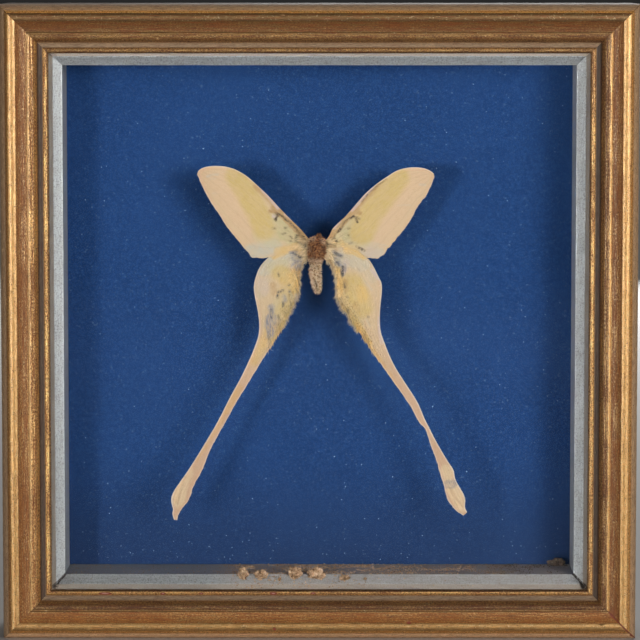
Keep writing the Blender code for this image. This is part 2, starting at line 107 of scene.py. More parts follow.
def buildStudio():
    scene = bpy.context.scene
    scene.view_settings.view_transform = "Standard"
    cameraData = bpy.data.cameras.new("camera")
    cameraData.sensor_width = 36
    cameraData.sensor_fit = "HORIZONTAL"
    cameraData.lens = cameraSetup["lens"]
    camera = addObject("camera", cameraData)
    camera.location = cameraSetup["place"]
    camera.rotation_euler = (radians(cameraSetup["tilt"]), 0, radians(cameraSetup["turn"]))
    scene.camera = camera

    middle = Vector((0, frontY, centreZ))
    for name in ("leftLamp", "rightLamp"):
        lamp = lightSetup[name]
        turn, rise = radians(lamp["angle"]), radians(lamp["rise"])
        way = Vector((sin(turn) * cos(rise), -cos(turn) * cos(rise), sin(rise)))
        areaLamp(name, middle + way * lamp["away"], middle, lamp["size"], lamp["watts"])
    fill = lightSetup["backFill"]
    areaLamp("backFill", fill["place"], (0, 0, centreZ), fill["size"], fill["watts"])
    high = lightSetup["ceiling"]
    areaLamp("ceiling", high["place"], (0, 7, 0), high["size"], high["watts"])

    world = bpy.data.worlds.new("room")
    scene.world = world
    world.use_nodes = True
    glow = world.node_tree.nodes["Background"]
    glow.inputs["Color"].default_value = (1, 1, 1, 1)
    glow.inputs["Strength"].default_value = lightSetup["roomLight"]

    bpy.ops.mesh.primitive_plane_add(size=floorSetup["size"])
    floor = bpy.context.object
    floor.name = "floor"
    material = bpy.data.materials.new("pale floor")
    material.use_nodes = True
    shader = material.node_tree.nodes["Principled BSDF"]
    shader.inputs["Base Color"].default_value = (*floorSetup["colour"], 1)
    shader.inputs["Roughness"].default_value = floorSetup["roughness"]
    floor.data.materials.append(material)


buildStudio()
print("camera, lamps and floor set")


# Small helpers for meshes

def sideMatrix(quarter):
    # Local X runs in from one side of the square, local Y back from the front and
    # local Z along the side: 0 bottom, 1 left, 2 top, 3 right.
    axes = Matrix(((0, 0, -1, 0), (0, 1, 0, frontY), (1, 0, 0, 0), (0, 0, 0, 1)))
    centre = Matrix.Translation((0, 0, centreZ))
    return centre @ Matrix.Rotation(radians(90) * quarter, 4, "Y") @ centre.inverted() @ axes


def latticeNoise(x, y, z, seed):
    # Smooth random values from -1 to 1, one for each point of three arrays.
    table = np.random.RandomState(seed).uniform(-1, 1, 4096)
    cells = [np.floor(v).astype(np.int64) for v in (x, y, z)]
    parts = [v - c for v, c in zip((x, y, z), cells)]
    eased = [p * p * (3 - 2 * p) for p in parts]
    total = 0
    for dx in (0, 1):
        for dy in (0, 1):
            for dz in (0, 1):
                key = (cells[0] + dx) * 73856093 ^ (cells[1] + dy) * 19349663
                key = (key ^ (cells[2] + dz) * 83492791) & 4095
                weight = ((eased[0] if dx else 1 - eased[0]) * (eased[1] if dy else 1 - eased[1])
                          * (eased[2] if dz else 1 - eased[2]))
                total = total + weight * table[key]
    return total


def ease(value):
    value = np.clip(value, 0.0, 1.0)
    return value * value * (3 - 2 * value)


def unit(vectors):
    return vectors / np.maximum(np.linalg.norm(vectors, axis=-1, keepdims=True), 1e-6)


def pathLengths(points):
    # The distance from the first point along a row of points.
    steps = np.linalg.norm(np.diff(points, axis=0), axis=1)
    return np.concatenate([[0.0], np.cumsum(steps)])


def arcPoints(start, end, bulge, steps):
    # A circular arc without its first point; a positive bulge swells to the front.
    start, end = Vector(start), Vector(end)
    chord = end - start
    along = chord.normalized()
    out = Vector((along.y, -along.x)) * (1 if bulge > 0 else -1)
    rise = abs(bulge)
    radius = (chord.length ** 2 / 4 + rise ** 2) / (2 * rise)
    halfAngle = asin(min(1.0, chord.length / 2 / radius))
    middle = start + chord / 2 - out * (radius - rise)
    points = []
    for step in range(1, steps + 1):
        turn = halfAngle * (2 * step / steps - 1)
        points.append(middle + along * (radius * sin(turn)) + out * (radius * cos(turn)))
    points[-1] = end
    return points


def meshPiece(name, vertices, faces):
    mesh = bpy.data.meshes.new(name)
    mesh.from_pydata(np.asarray(vertices).tolist(), [], faces)
    mesh.validate()
    mesh.update()
    mesh.shade_smooth()
    return addObject(name, mesh)


def ballPiece(name, divisions, moved):
    # A ball of radius 1 whose points are moved one by one.
    work = bmesh.new()
    bmesh.ops.create_icosphere(work, subdivisions=divisions, radius=1)
    for vertex in work.verts:
        vertex.co = moved(vertex.co)
    mesh = bpy.data.meshes.new(name)
    work.to_mesh(mesh)
    work.free()
    return addObject(name, mesh)


def storeValues(piece, name, values):
    layer = piece.data.attributes.new(name, "FLOAT", "POINT")
    layer.data.foreach_set("value", np.asarray(values, dtype=np.float32).ravel())


def gridFaces(rows, columns, closed=False):
    faces = []
    for row in range(rows - 1):
        for column in range(columns if closed else columns - 1):
            following = (column + 1) % columns
            corner = row * columns
            faces.append((corner + column, corner + following,
                          corner + columns + following, corner + columns + column))
    return faces


def tubeFaces(rows, columns):
    # Rings of points joined up, with a face at each end.
    ends = [tuple(range(columns))[::-1], tuple(range((rows - 1) * columns, rows * columns))]
    return gridFaces(rows, columns, closed=True) + ends


def sweptSide(name, quarter, section, along, relief, sharpAngle):
    # A section carried along one side of the square, raised by its relief, in two mitres.
    way = np.roll(section, -1, axis=0) - np.roll(section, 1, axis=0)
    normals = unit(np.stack([way[:, 1], -way[:, 0]], axis=1))
    offset = section[None, :, :] + normals[None, :, :] * relief[:, :, None]
    local = np.stack([offset[:, :, 0], offset[:, :, 1], along, np.ones_like(along)], axis=-1)
    place = np.array(sideMatrix(quarter)) @ np.diag([mm, mm, mm, 1.0])
    vertices = (local.reshape(-1, 4) @ place.T)[:, :3]
    piece = meshPiece(name, vertices, outwards(vertices, tubeFaces(*along.shape)))
    piece.data.set_sharp_from_angle(angle=radians(sharpAngle))
    return piece


def outwards(vertices, faces):
    # A closed shape whose faces point in is turned round.
    volume = 0.0
    for face in faces:
        corner = vertices[face[0]]
        for second, third in zip(face[1:-1], face[2:]):
            volume += np.dot(corner, np.cross(vertices[second], vertices[third]))
    return faces if volume > 0 else [face[::-1] for face in faces]


# Helpers for materials

def addNode(tree, kind, inputs=None, **settings):
    node = tree.nodes.new(kind)
    for name, value in settings.items():
        setattr(node, name, value)
    for name, value in (inputs or {}).items():
        if isinstance(value, bpy.types.NodeSocket):
            tree.links.new(value, node.inputs[name])
        else:
            node.inputs[name].default_value = value
    return node


def arithmetic(tree, operation, first, second=0.0, clamp=False):
    return addNode(tree, "ShaderNodeMath", {0: first, 1: second},
                   operation=operation, use_clamp=clamp).outputs[0]


def product(tree, first, second, clamp=False):
    return arithmetic(tree, "MULTIPLY", first, second, clamp)


def plus(tree, first, second):
    return arithmetic(tree, "ADD", first, second)


def noiseField(tree, place, scale, detail, roughness=0.5):
    return addNode(tree, "ShaderNodeTexNoise", {"Vector": place, "Scale": scale, "Detail": detail,
                                                "Roughness": roughness}).outputs["Fac"]


def blendColour(tree, share, first, second, how="MIX"):
    node = addNode(tree, "ShaderNodeMix", data_type="RGBA", blend_type=how)
    for number, value in ((0, share), (6, first), (7, second)):
        socket = node.inputs[number]
        if isinstance(value, bpy.types.NodeSocket):
            tree.links.new(value, socket)
        elif isinstance(value, (tuple, list)):
            socket.default_value = (*value, 1)
        else:
            socket.default_value = value
    return node.outputs[2]


def tint(tree, colour, factor, share=1.0):
    return blendColour(tree, share, colour, factor, "MULTIPLY")


def remap(tree, value, low, high, fromLow=0.0, fromHigh=1.0, smooth=False):
    return addNode(tree, "ShaderNodeMapRange",
                   {"Value": value, "From Min": fromLow, "From Max": fromHigh,
                    "To Min": low, "To Max": high},
                   interpolation_type="SMOOTHSTEP" if smooth else "LINEAR").outputs["Result"]


def readValue(tree, name):
    return addNode(tree, "ShaderNodeAttribute", attribute_name=name).outputs["Fac"]


def ramp(tree, value, stops):
    # Stops are a position and a colour, with a fourth number as alpha where given.
    node = addNode(tree, "ShaderNodeValToRGB", {"Fac": value})
    elements = node.color_ramp.elements
    while len(elements) < len(stops):
        elements.new(0.5)
    for element, (position, colour) in zip(elements, stops):
        element.position = position
    for element, (position, colour) in zip(elements, stops):
        element.color = colour if len(colour) == 4 else (*colour, 1)
    return node


def newMaterial(name, **fixed):
    # Fixed numbers are set on the shader's own sockets.
    material = bpy.data.materials.new(name)
    material.use_nodes = True
    shader = material.node_tree.nodes["Principled BSDF"]
    for socket, value in fixed.items():
        shader.inputs[socket.replace("_", " ")].default_value = value
    return material, material.node_tree, shader


def shaderGroup(name, inputs, outputs):
    group = bpy.data.node_groups.new(name, "ShaderNodeTree")
    for label, kind, value in inputs:
        socket = group.interface.new_socket(label, in_out="INPUT", socket_type=kind)
        if value is not None:
            socket.default_value = value
    for label, kind in outputs:
        group.interface.new_socket(label, in_out="OUTPUT", socket_type=kind)
    return group, group.nodes.new("NodeGroupInput"), group.nodes.new("NodeGroupOutput")


def useGroup(tree, group, inputs):
    node = tree.nodes.new("ShaderNodeGroup")
    node.node_tree = group
    for name, value in inputs.items():
        if isinstance(value, bpy.types.NodeSocket):
            tree.links.new(value, node.inputs[name])
        else:
            node.inputs[name].default_value = value
    return node


def buildSpeckle():
    # Soft spots: noise cut between two levels.
    group, given, result = shaderGroup(
        "speckle",
        [("Vector", "NodeSocketVector", None), ("Scale", "NodeSocketFloat", 1000.0),
         ("Detail", "NodeSocketFloat", 3.0), ("Low", "NodeSocketFloat", 0.5),
         ("High", "NodeSocketFloat", 0.6)],
        [("Mask", "NodeSocketFloat")])
    vector, scale, detail, low, high = (socket for socket in given.outputs if socket.name)
    spots = noiseField(group, vector, scale, detail)
    group.links.new(remap(group, spots, 0.0, 1.0, low, high, True), result.inputs["Mask"])
    return group


def buildLengthGrain():
    # Fine lines that run along a moulding or a board.
    group, given, result = shaderGroup(
        "length grain",
        [("Across", "NodeSocketFloat", 0.0), ("Along", "NodeSocketFloat", 0.0),
         ("Fineness", "NodeSocketFloat", 3.0), ("Stretch", "NodeSocketFloat", 20.0),
         ("Detail", "NodeSocketFloat", 4.0)],
        [("Value", "NodeSocketFloat")])
    across, along, fineness, stretch, detail = (socket for socket in given.outputs if socket.name)
    across = product(group, across, fineness)
    along = product(group, arithmetic(group, "DIVIDE", along, stretch), fineness)
    place = addNode(group, "ShaderNodeCombineXYZ", {"X": across, "Y": along})
    lines = noiseField(group, place.outputs["Vector"], 1.0, detail)
    group.links.new(lines, result.inputs["Value"])
    return group


speckle = buildSpeckle()
lengthGrain = buildLengthGrain()


def speckleMask(tree, vector, scale, low, high, detail=3.0):
    inputs = {"Vector": vector, "Scale": scale, "Detail": detail, "Low": low, "High": high}
    return useGroup(tree, speckle, inputs).outputs["Mask"]


def grainLines(tree, across, along, fineness, stretch, detail=4.0):
    inputs = {"Across": across, "Along": along, "Fineness": fineness, "Stretch": stretch,
              "Detail": detail}
    return useGroup(tree, lengthGrain, inputs).outputs["Value"]


def objectPlace(tree):
    return addNode(tree, "ShaderNodeTexCoord").outputs["Object"]


def bumpFrom(tree, height, strength, distance, shader):
    bump = addNode(tree, "ShaderNodeBump",
                   {"Height": height, "Strength": strength, "Distance": distance})
    tree.links.new(bump.outputs["Normal"], shader.inputs["Normal"])


# The gilt moulding

gilding = {
    "steps": 380,                        # stations along each side
    "bands": [               # name, end point, swell, steps, patina, share of leaf left
        ("shoulder", (2.5, 1.5), 0.75, 14, (0.42, 0.275, 0.15), 0.10),
        ("quirk", (3.6, 0.5), 0.1, 6, (0.34, 0.15, 0.03), 0.40),
        ("ridge", (6.8, 0.55), 0.42, 20, (0.36, 0.18, 0.05), 0.85),
        ("scoop", (10.9, 2.6), -0.32, 18, (0.37, 0.14, 0.028), 0.36),
        ("raised line", (11.8, 2.4), 0.2, 6, (0.40, 0.22, 0.08), 0.80),
        ("mottled band", (14.1, 3.0), 0.35, 12, (0.24, 0.092, 0.02), 0.44),
        ("drop", (15.1, 4.9), 0.15, 6, (0.18, 0.075, 0.022), 0.52),
        ("cove", (17.2, 5.5), -0.35, 9, (0.28, 0.195, 0.115), 0.05),
        ("sight bead", (19.5, 6.0), 0.75, 16, (0.20, 0.085, 0.022), 0.52)],
    # painted light and shade: how bright each band of a side is made, for the light that falls on
    # that side
    "lift": {
        "bottom": (2.05, 1.64, 1.06, 1.28, 0.67, 0.70, 0.92, 1.26, 1.55),
        "left": (1.22, 1.05, 1.3, 1.16, 1.03, 1.68, 1.85, 0.5, 2.1),
        "top": (1.5, 2.4, 0.5, 0.78, 0.64, 1.02, 0.93, 1.65, 1.12),
        "right": (1.6, 1.9, 1.38, 0.98, 1.62, 0.96, 0.94, 0.4, 1.95)},
    "start": (0.0, 6.5),                 # of the shoulder: in from the side, back
    "sideStations": (30.0, 20.0, 12.0, 8.0),
    "rabbet": [(19.5, 7.0), (14.0, 7.0), (14.0, 47.0), (0.0, 47.0), (0.0, 40.0)],
    "mitreGap": 0.04, "seed": 11, "sharpAngle": 38,
    # unevenness: height, length across and along the rail, and layer of the noise
    "waves": [(0.035, 3.0, 28.0, 0), (0.02, 0.7, 2.2, 5)],
    "lipSteps": 6,                       # last steps of the sight bead, in the slip's shade
    # painted shade on those last steps of the sight bead, side by side
    "lipPaintedShade": {"bottom": 0.32, "left": 0.6, "top": 0.6, "right": 0.6},
    "openMitres": (0.7, 13.0, 0.62),     # reach, how far in, and share of bole
    "leaf": [(0.0, (0.41, 0.20, 0.052)), (0.5, (0.57, 0.32, 0.10)), (1.0, (0.79, 0.57, 0.26))],
}


def mouldingSection():
    # Points in from the outer side and back from the front, each one's distance
    # around the section, and the number of the point that each band starts at. The
    # section closes on the plain outer side.
    points = [Vector((0.0, back)) for back in gilding["sideStations"]]
    points.append(Vector(gilding["start"]))
    bandStarts = {}
    for name, end, swell, steps, patina, leaf in gilding["bands"]:
        bandStarts[name] = len(points) - 1
        points += arcPoints(points[-1], end, swell, steps)
    bandStarts["lip"] = len(points) - 1
    points += [Vector(corner) for corner in gilding["rabbet"]]
    section = np.array(points)
    return section, pathLengths(section), bandStarts


# Dents and chips in the gilding: side, place along it from the left or from the
# bottom, place in from the outer side, reach along, reach across, depth, all in
# millimetres, and how much bole shows
knocks = [
    ("left", 40.5, 9.0, 0.5, 0.5, 0.35, 0.0), ("left", 205.0, 5.2, 0.6, 0.4, 0.3, 0.0),
    ("left", 204.5, 13.0, 1.0, 0.9, 0.3, 0.2), ("left", 139.5, 5.0, 0.5, 0.4, 0.3, 0.0),
    ("top", 63.0, 13.2, 1.2, 0.6, 0.4, 0.0), ("top", 113.0, 4.6, 0.6, 0.5, 0.2, 0.0),
    ("bottom", 41.0, 18.0, 2.4, 0.5, 0.25, 1.0), ("bottom", 64.2, 18.0, 1.0, 0.5, 0.25, 1.0),
    ("bottom", 79.5, 18.0, 0.8, 0.4, 0.2, 1.0), ("bottom", 108.5, 18.0, 1.3, 0.6, 0.3, 1.0),
    ("bottom", 124.5, 18.2, 1.0, 0.4, 0.2, 1.0), ("bottom", 163.0, 7.0, 1.0, 0.6, 0.25, 0.6),
    ("bottom", 109.0, 4.4, 0.5, 0.8, 0.25, 0.8), ("bottom", 252.6, 1.6, 1.2, 1.0, 0.5, 0.7),
    ("right", 7.0, 15.4, 1.0, 0.8, 0.3, 0.4), ("right", 11.0, 9.0, 4.0, 1.8, 0.0, 0.30),
    ("bottom", 245.0, 9.4, 2.6, 1.2, 0.0, 0.34), ("bottom", 240.0, 6.6, 0.5, 0.4, 0.3, 0.0)]
sideNames = ("bottom", "left", "top", "right")


def placeAlong(side, distance):
    # Along a side's local Z, from a distance measured from the left or the bottom.
    return (halfSide - distance) * (1 if side in ("bottom", "right") else -1)


def buildRail(quarter):
    side = sideNames[quarter]
    section, around, bandStarts = mouldingSection()
    shares = np.linspace(-1, 1, gilding["steps"])
    reach = halfSide - section[:, 0] - gilding["mitreGap"] * sqrt(2)
    along = shares[:, None] * reach[None, :]
    across = np.broadcast_to(around[None, :], along.shape)
    gilt = np.zeros(len(section))
    gilt[bandStarts["shoulder"]:bandStarts["lip"]] = 1.0
    shift = 60.0 * quarter                # so that no two rails are alike
    relief = np.zeros(along.shape)
    for height, wide, long, layer in gilding["waves"]:
        relief += height * latticeNoise(across / wide, (along + shift) / long, 0 * along + layer,
                                        gilding["seed"])
    relief = relief * gilt[None, :]
    bole = np.zeros(along.shape)
    for where, distance, inward, longReach, wideReach, depth, red in knocks:
        if where != side:
            continue
        u = (section[None, :, 0] - inward) / wideReach
        v = (along - placeAlong(side, distance)) / longReach
        ragged = 1 + 0.35 * latticeNoise(across * 1.7, along * 1.7, 0 * along + 9, gilding["seed"])
        hollow = np.exp(-((u * u + v * v) * ragged) ** 1.5) * gilt[None, :]
        relief -= depth * hollow
        bole = np.maximum(bole, red * hollow)
    if side in ("bottom", "right"):
        opening, inward, red = gilding["openMitres"]
        fromCorner = reach[None, :] + (along if side == "bottom" else -along)
        opened = ease(1 - fromCorner / opening) * ease((inward - section[None, :, 0]) / 3)
        bole = np.maximum(bole, red * opened * gilt[None, :])
    piece = sweptSide("moulding_" + side, quarter, section, along, relief, gilding["sharpAngle"])
    storeValues(piece, "across", across)
    storeValues(piece, "along", along + shift * 10)
    storeValues(piece, "bole", bole)
    # Painted light and shade for each band of this side
    lift = np.ones(len(section))
    for band, value in zip(gilding["bands"], gilding["lift"][side]):
        start, steps = bandStarts[band[0]], band[3]
        lift[start:start + steps + 1] = value
    lip = bandStarts["lip"]
    # painted shade on the sight bead's last steps, next to the slip
    lift[lip - gilding["lipSteps"]:lip + 1] *= gilding["lipPaintedShade"][side]
    storeValues(piece, "lift", lift[None, :] + 0 * along)
    for finish in (giltFinish, washFinish, woodFinish):
        piece.data.materials.append(finish)
    rows, columns = along.shape
    outerColumns = list(range(4)) + [columns - 2, columns - 1]
    for number, face in enumerate(piece.data.polygons):
        column = number % columns
        mitre = number >= (rows - 1) * columns
        if mitre or column not in outerColumns and column >= lip:
            face.material_index = 2
        elif column in outerColumns:
            face.material_index = 1
    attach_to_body(piece, "root")
    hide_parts("rail_" + side)


def giltMaterial():
    section, around, bandStarts = mouldingSection()
    total = around[-1]
    material, tree, shader = newMaterial("worn gilding", Coat_Roughness=0.34)
    across, along = readValue(tree, "across"), readValue(tree, "along")
    bole = readValue(tree, "bole")
    place = objectPlace(tree)

    stops = []
    for name, end, swell, steps, patina, leaf in gilding["bands"]:
        first = bandStarts[name]
        last = first + steps
        span = around[last] - around[first]
        edge = min(0.12, span * 0.3)
        stops.append(((around[first] + edge) / total, (*patina, leaf)))
        stops.append(((around[last] - edge) / total, (*patina, leaf)))
    tone = ramp(tree, arithmetic(tree, "DIVIDE", across, float(total)), stops)
    # Leaf survives in flecks over the brown patina, more of it on the raised parts
    stretched = addNode(tree, "ShaderNodeCombineXYZ",
                        {"X": across, "Y": product(tree, along, 0.5)})
    flecks = noiseField(tree, stretched.outputs["Vector"], 2.3, 5.0, 0.7)
    lines = grainLines(tree, across, along, 2.6, 30.0)
    fineLines = grainLines(tree, across, along, 6.5, 16.0)
    drift = noiseField(tree, place, 60.0, 3.0)
    worn = plus(tree, product(tree, flecks, 0.58), product(tree, lines, 0.26))
    worn = plus(tree, worn, product(tree, drift, 0.16))
    level = remap(tree, worn, 0.0, 1.0, 0.37, 0.63)
    survive = plus(tree, arithmetic(tree, "SUBTRACT", tone.outputs["Alpha"], level), 0.5)
    leaf = remap(tree, survive, 0.0, 1.0, 0.30, 0.76, True)
    chipped = remap(tree, bole, 1.0, 0.0, 0.1, 0.4, True)
    leaf = product(tree, leaf, chipped, True)

    gold = ramp(tree, fineLines, [(low * 0.5 + 0.25, shade) for low, shade in gilding["leaf"]])
    patina = tint(tree, tone.outputs["Color"], (0.50, 0.42, 0.36),
                  remap(tree, fineLines, 0.0, 0.8, 0.4, 0.62, True))
    patina = tint(tree, patina, (0.45, 0.36, 0.30),
                  remap(tree, flecks, 0.0, 0.6, 0.55, 0.68, True))
    colour = blendColour(tree, leaf, patina, gold.outputs["Color"])
    brushed = remap(tree, grainLines(tree, across, along, 9.0, 60.0), 0.62, 1.35, 0.34, 0.66)
    colour = tint(tree, colour, brushed)
    # Bole shows through in reddish lines, most on the darker lengths
    lift = readValue(tree, "lift")
    deep = remap(tree, lift, 1.0, 0.35, 0.6, 1.0)
    reddish = product(tree, remap(tree, lines, 0.2, 0.95, 0.50, 0.62, True), deep)
    colour = tint(tree, colour, (1.05, 0.66, 0.62), reddish)
    # Painted light and shade, band by band and side by side
    colour = tint(tree, colour, lift)
    pits = speckleMask(tree, place, 1900.0, 0.60, 0.68)
    colour = blendColour(tree, product(tree, pits, 0.6), colour, (0.05, 0.028, 0.015))
    glints = product(tree, speckleMask(tree, place, 1500.0, 0.62, 0.70), leaf)
    colour = blendColour(tree, product(tree, glints, 0.6), colour, (0.92, 0.72, 0.42))
    colour = blendColour(tree, remap(tree, bole, 0.0, 1.0, 0.2, 0.5, True), colour,
                         (0.30, 0.06, 0.03))
    colour = blendColour(tree, remap(tree, bole, 0.0, 0.7, 0.75, 0.95, True), colour,
                         (0.72, 0.40, 0.33))
    tree.links.new(colour, shader.inputs["Base Color"])
    tree.links.new(product(tree, leaf, 0.92), shader.inputs["Metallic"])
    tree.links.new(remap(tree, leaf, 0.12, 0.95), shader.inputs["Coat Weight"])
    rough = remap(tree, leaf, 0.62, 0.44)
    rough = plus(tree, rough, remap(tree, lines, -0.04, 0.07, 0.35, 0.65))
    tree.links.new(rough, shader.inputs["Roughness"])
    height = plus(tree, product(tree, fineLines, 0.5), product(tree, leaf, 0.25))
    height = plus(tree, height, product(tree, pits, -0.5))
    height = plus(tree, height, product(tree, flecks, 0.5))
    bumpFrom(tree, height, 0.55, 0.00014, shader)
    return material


def woodMaterial(name, light, dark, roughness):
    # Plain wood, or a wash of colour over it, with its grain along the rail.
    material, tree, shader = newMaterial(name, Roughness=roughness, Specular_IOR_Level=0.3)
    across, along = readValue(tree, "across"), readValue(tree, "along")
    grain = grainLines(tree, across, along, 1.6, 34.0)
    pores = grainLines(tree, across, along, 9.0, 22.0)
    stain = noiseField(tree, objectPlace(tree), 45.0, 4.0)
    colour = blendColour(tree, remap(tree, grain, 0.0, 1.0, 0.35, 0.65), light, dark)
    colour = tint(tree, colour, (0.55, 0.5, 0.45), remap(tree, pores, 0.0, 0.6, 0.5, 0.68))
    colour = tint(tree, colour, (0.5, 0.42, 0.36), remap(tree, stain, 0.0, 0.7, 0.5, 0.8))
    tree.links.new(colour, shader.inputs["Base Color"])
    bumpFrom(tree, pores, 0.3, 0.0002, shader)
    return material


giltFinish = giltMaterial()
washFinish = woodMaterial("ochre wash", (0.27, 0.165, 0.07), (0.20, 0.105, 0.045), 0.6)
woodFinish = woodMaterial("bare wood", (0.46, 0.30, 0.16), (0.34, 0.20, 0.10), 0.8)
for quarter in range(4):
    buildRail(quarter)
print("moulding built")


# The silvered slip

slipSizes = {
    "faceOpening": 215.8, "sightOpening": 205.2, "slope": 4.7,
    "fold": (1.6, 2.4),                  # in and back, where the steep outer zone ends
    "lip": 0.12,                         # how far behind the glass side the slope starts
    "stations": 260, "mitreGap": 0.04, "seed": 23, "sharpAngle": 30,
    "wave": (0.03, 2.0, 9.0),            # unevenness: height, length across and along
    # painted light and shade: brightness of each side's outer zone, its inner zone and the wall
    # behind, for the light that falls on that side
    "lift": {"bottom": (1.32, 0.92, 0.76), "left": (1.02, 1.1, 1.1), "top": (2.6, 1.32, 1.05),
             "right": (1.18, 1.14, 1.55)},
    # how thick the brown dust lies: on the floor of the box, and on the slope, and
    # where it thins out along the bottom: place and width, right and left
    "film": (1.0, 0.5), "filmEnds": ((46, 12), (104, 8)),
    # how far the dirt reaches out of the mitres: everywhere, at the slope's foot, and
    # further near its outer edge, on the bottom and on the other sides
    "dirtReach": (1.3, 0.9, 2.4, 1.2),
}


def slipSection():
    low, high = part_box("slip_bottom")
    outer = low.z / mm
    front = (low.y - frontY) / mm
    back = (high.y - frontY) / mm
    top = halfSide - slipSizes["faceOpening"] / 2
    foot = halfSide - slipSizes["sightOpening"] / 2
    points = [Vector((outer, back)), Vector((outer, front)), Vector((top - 0.3, front))]
    slopeEnd = Vector((foot, front + slipSizes["slope"]))
    slopeStart = Vector((top, front + slipSizes["lip"]))
    fold = slopeStart + Vector(slipSizes["fold"])
    points += [slopeStart.lerp(fold, step / 10) for step in range(10)]
    points += [fold.lerp(slopeEnd, step / 12) for step in range(12)]
    points += [Vector((foot - 0.07, slopeEnd.y - 0.1)), Vector((foot, slopeEnd.y + 0.1))]
    points += [Vector((foot, slopeEnd.y + 0.1 + (back - slopeEnd.y - 0.1) * step / 20))
               for step in range(1, 21)]
    section = np.array(points)
    around = pathLengths(section)
    return section, around - around[2]


def buildSlip(quarter):
    side = sideNames[quarter]
    section, around = slipSection()
    shares = np.linspace(-1, 1, slipSizes["stations"])
    reach = halfSide - section[:, 0] - slipSizes["mitreGap"] * sqrt(2)
    along = shares[:, None] * reach[None, :]
    across = np.broadcast_to(around[None, :], along.shape)
    number = np.arange(len(section))
    shown = (number > 3) * (number < len(section) - 1)
    shift = 70.0 * quarter
    height, wide, long = slipSizes["wave"]
    relief = height * latticeNoise(across / wide, (along + shift) / long, 0 * along,
                                   slipSizes["seed"]) * shown[None, :]
    piece = sweptSide("silver_slip_" + side, quarter, section, along, relief,
                      slipSizes["sharpAngle"])
    storeValues(piece, "across", across)
    storeValues(piece, "along", along + shift * 10)
    back = section[None, :, 1] - section[3, 1]
    # Painted light and shade: each zone of this side gets its own brightness
    outer, inner, wall = slipSizes["lift"][side]
    zone = ease((back - slipSizes["fold"][1]) / 0.3)
    lift = outer + (inner - outer) * zone
    storeValues(piece, "lift", lift + (wall - lift) * (back > slipSizes["slope"]) + 0 * along)
    onFloor, onSlope = slipSizes["film"]
    (right, rightFade), (left, leftFade) = slipSizes["filmEnds"]
    spread = ease((right - along) / rightFade) * ease((along + left) / leftFade)
    film = np.where(back > slipSizes["slope"], onFloor * (0.25 + 0.75 * spread), onSlope * spread)
    storeValues(piece, "film", film * (side == "bottom"))
    fromCorner = reach[None, :] - np.abs(along)
    if side != "bottom":
        fromCorner = reach[None, :] + {"left": along, "top": 99 + 0 * along, "right": -along}[side]
    outerness = ease(1.15 - (section[None, :, 0] - section[3, 0]) / 2.6)
    least, foot, below, beside = slipSizes["dirtReach"]
    dirt = ease(1 - fromCorner / (foot + (below if side == "bottom" else beside) * outerness))
    dirt = np.maximum(dirt, ease(1 - fromCorner / least))
    storeValues(piece, "dirty", dirt * (back <= slipSizes["slope"]))
    piece.data.materials.append(silverFinish)
    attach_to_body(piece, "root")
    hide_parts("slip_" + side)


def silverMaterial():
    material, tree, shader = newMaterial("toned silver")
    across, along = readValue(tree, "across"), readValue(tree, "along")
    place = objectPlace(tree)
    section, around = slipSection()
    wallStart = float(around[3 + np.argmax(section[3:, 1] >= section[3, 1] + slipSizes["slope"])])
    lines = grainLines(tree, across, along, 2.2, 12.0)
    blotch = speckleMask(tree, place, 300.0, 0.42, 0.66, 4.0)
    grit = speckleMask(tree, place, 1700.0, 0.44, 0.72, 4.0)
    colour = blendColour(tree, remap(tree, lines, 0.0, 1.0, 0.35, 0.65), (0.36, 0.363, 0.372),
                         (0.48, 0.484, 0.495))
    colour = blendColour(tree, product(tree, blotch, 0.3), colour, (0.34, 0.315, 0.29))
    colour = blendColour(tree, product(tree, grit, 0.75), colour, (0.20, 0.185, 0.18))
    foldPlace = sqrt(sum(part ** 2 for part in slipSizes["fold"]))
    outerZone = remap(tree, across, 1.0, 0.0, foldPlace + 0.15, foldPlace + 0.55, True)
    dullness = product(tree, outerZone, remap(tree, grit, 0.75, 1.0))
    colour = blendColour(tree, dullness, colour, (0.37, 0.285, 0.215))
    onWall = remap(tree, across, 0.0, 1.0, wallStart - 0.1, wallStart + 0.1)
    colour = blendColour(tree, onWall, colour, (0.29, 0.285, 0.29))
    # Painted light and shade, by side and by zone
    colour = tint(tree, colour, readValue(tree, "lift"))
    film = product(tree, readValue(tree, "film"), remap(tree, blotch, 0.92, 1.04), True)
    film = product(tree, film, remap(tree, grit, 0.8, 1.2), True)
    colour = blendColour(tree, film, colour, (0.283, 0.226, 0.20))
    dirt = remap(tree, readValue(tree, "dirty"), 0.0, 1.0, 0.25, 0.62, True)
    dirt = product(tree, dirt, speckleMask(tree, place, 800.0, 0.34, 0.5), True)
    colour = blendColour(tree, product(tree, dirt, 0.9), colour, (0.05, 0.032, 0.025))
    tree.links.new(colour, shader.inputs["Base Color"])
    metal = arithmetic(tree, "SUBTRACT", 0.80, product(tree, dullness, 0.45))
    metal = arithmetic(tree, "SUBTRACT", metal, product(tree, onWall, 0.6))
    metal = arithmetic(tree, "SUBTRACT", metal, film, True)
    tree.links.new(metal, shader.inputs["Metallic"])
    tree.links.new(remap(tree, lines, 0.44, 0.56, 0.3, 0.7), shader.inputs["Roughness"])
    bumpFrom(tree, plus(tree, lines, grit), 0.4, 0.0001, shader)
    return material


silverFinish = silverMaterial()
for quarter in range(4):
    buildSlip(quarter)
print("slip built")


# Glass and card

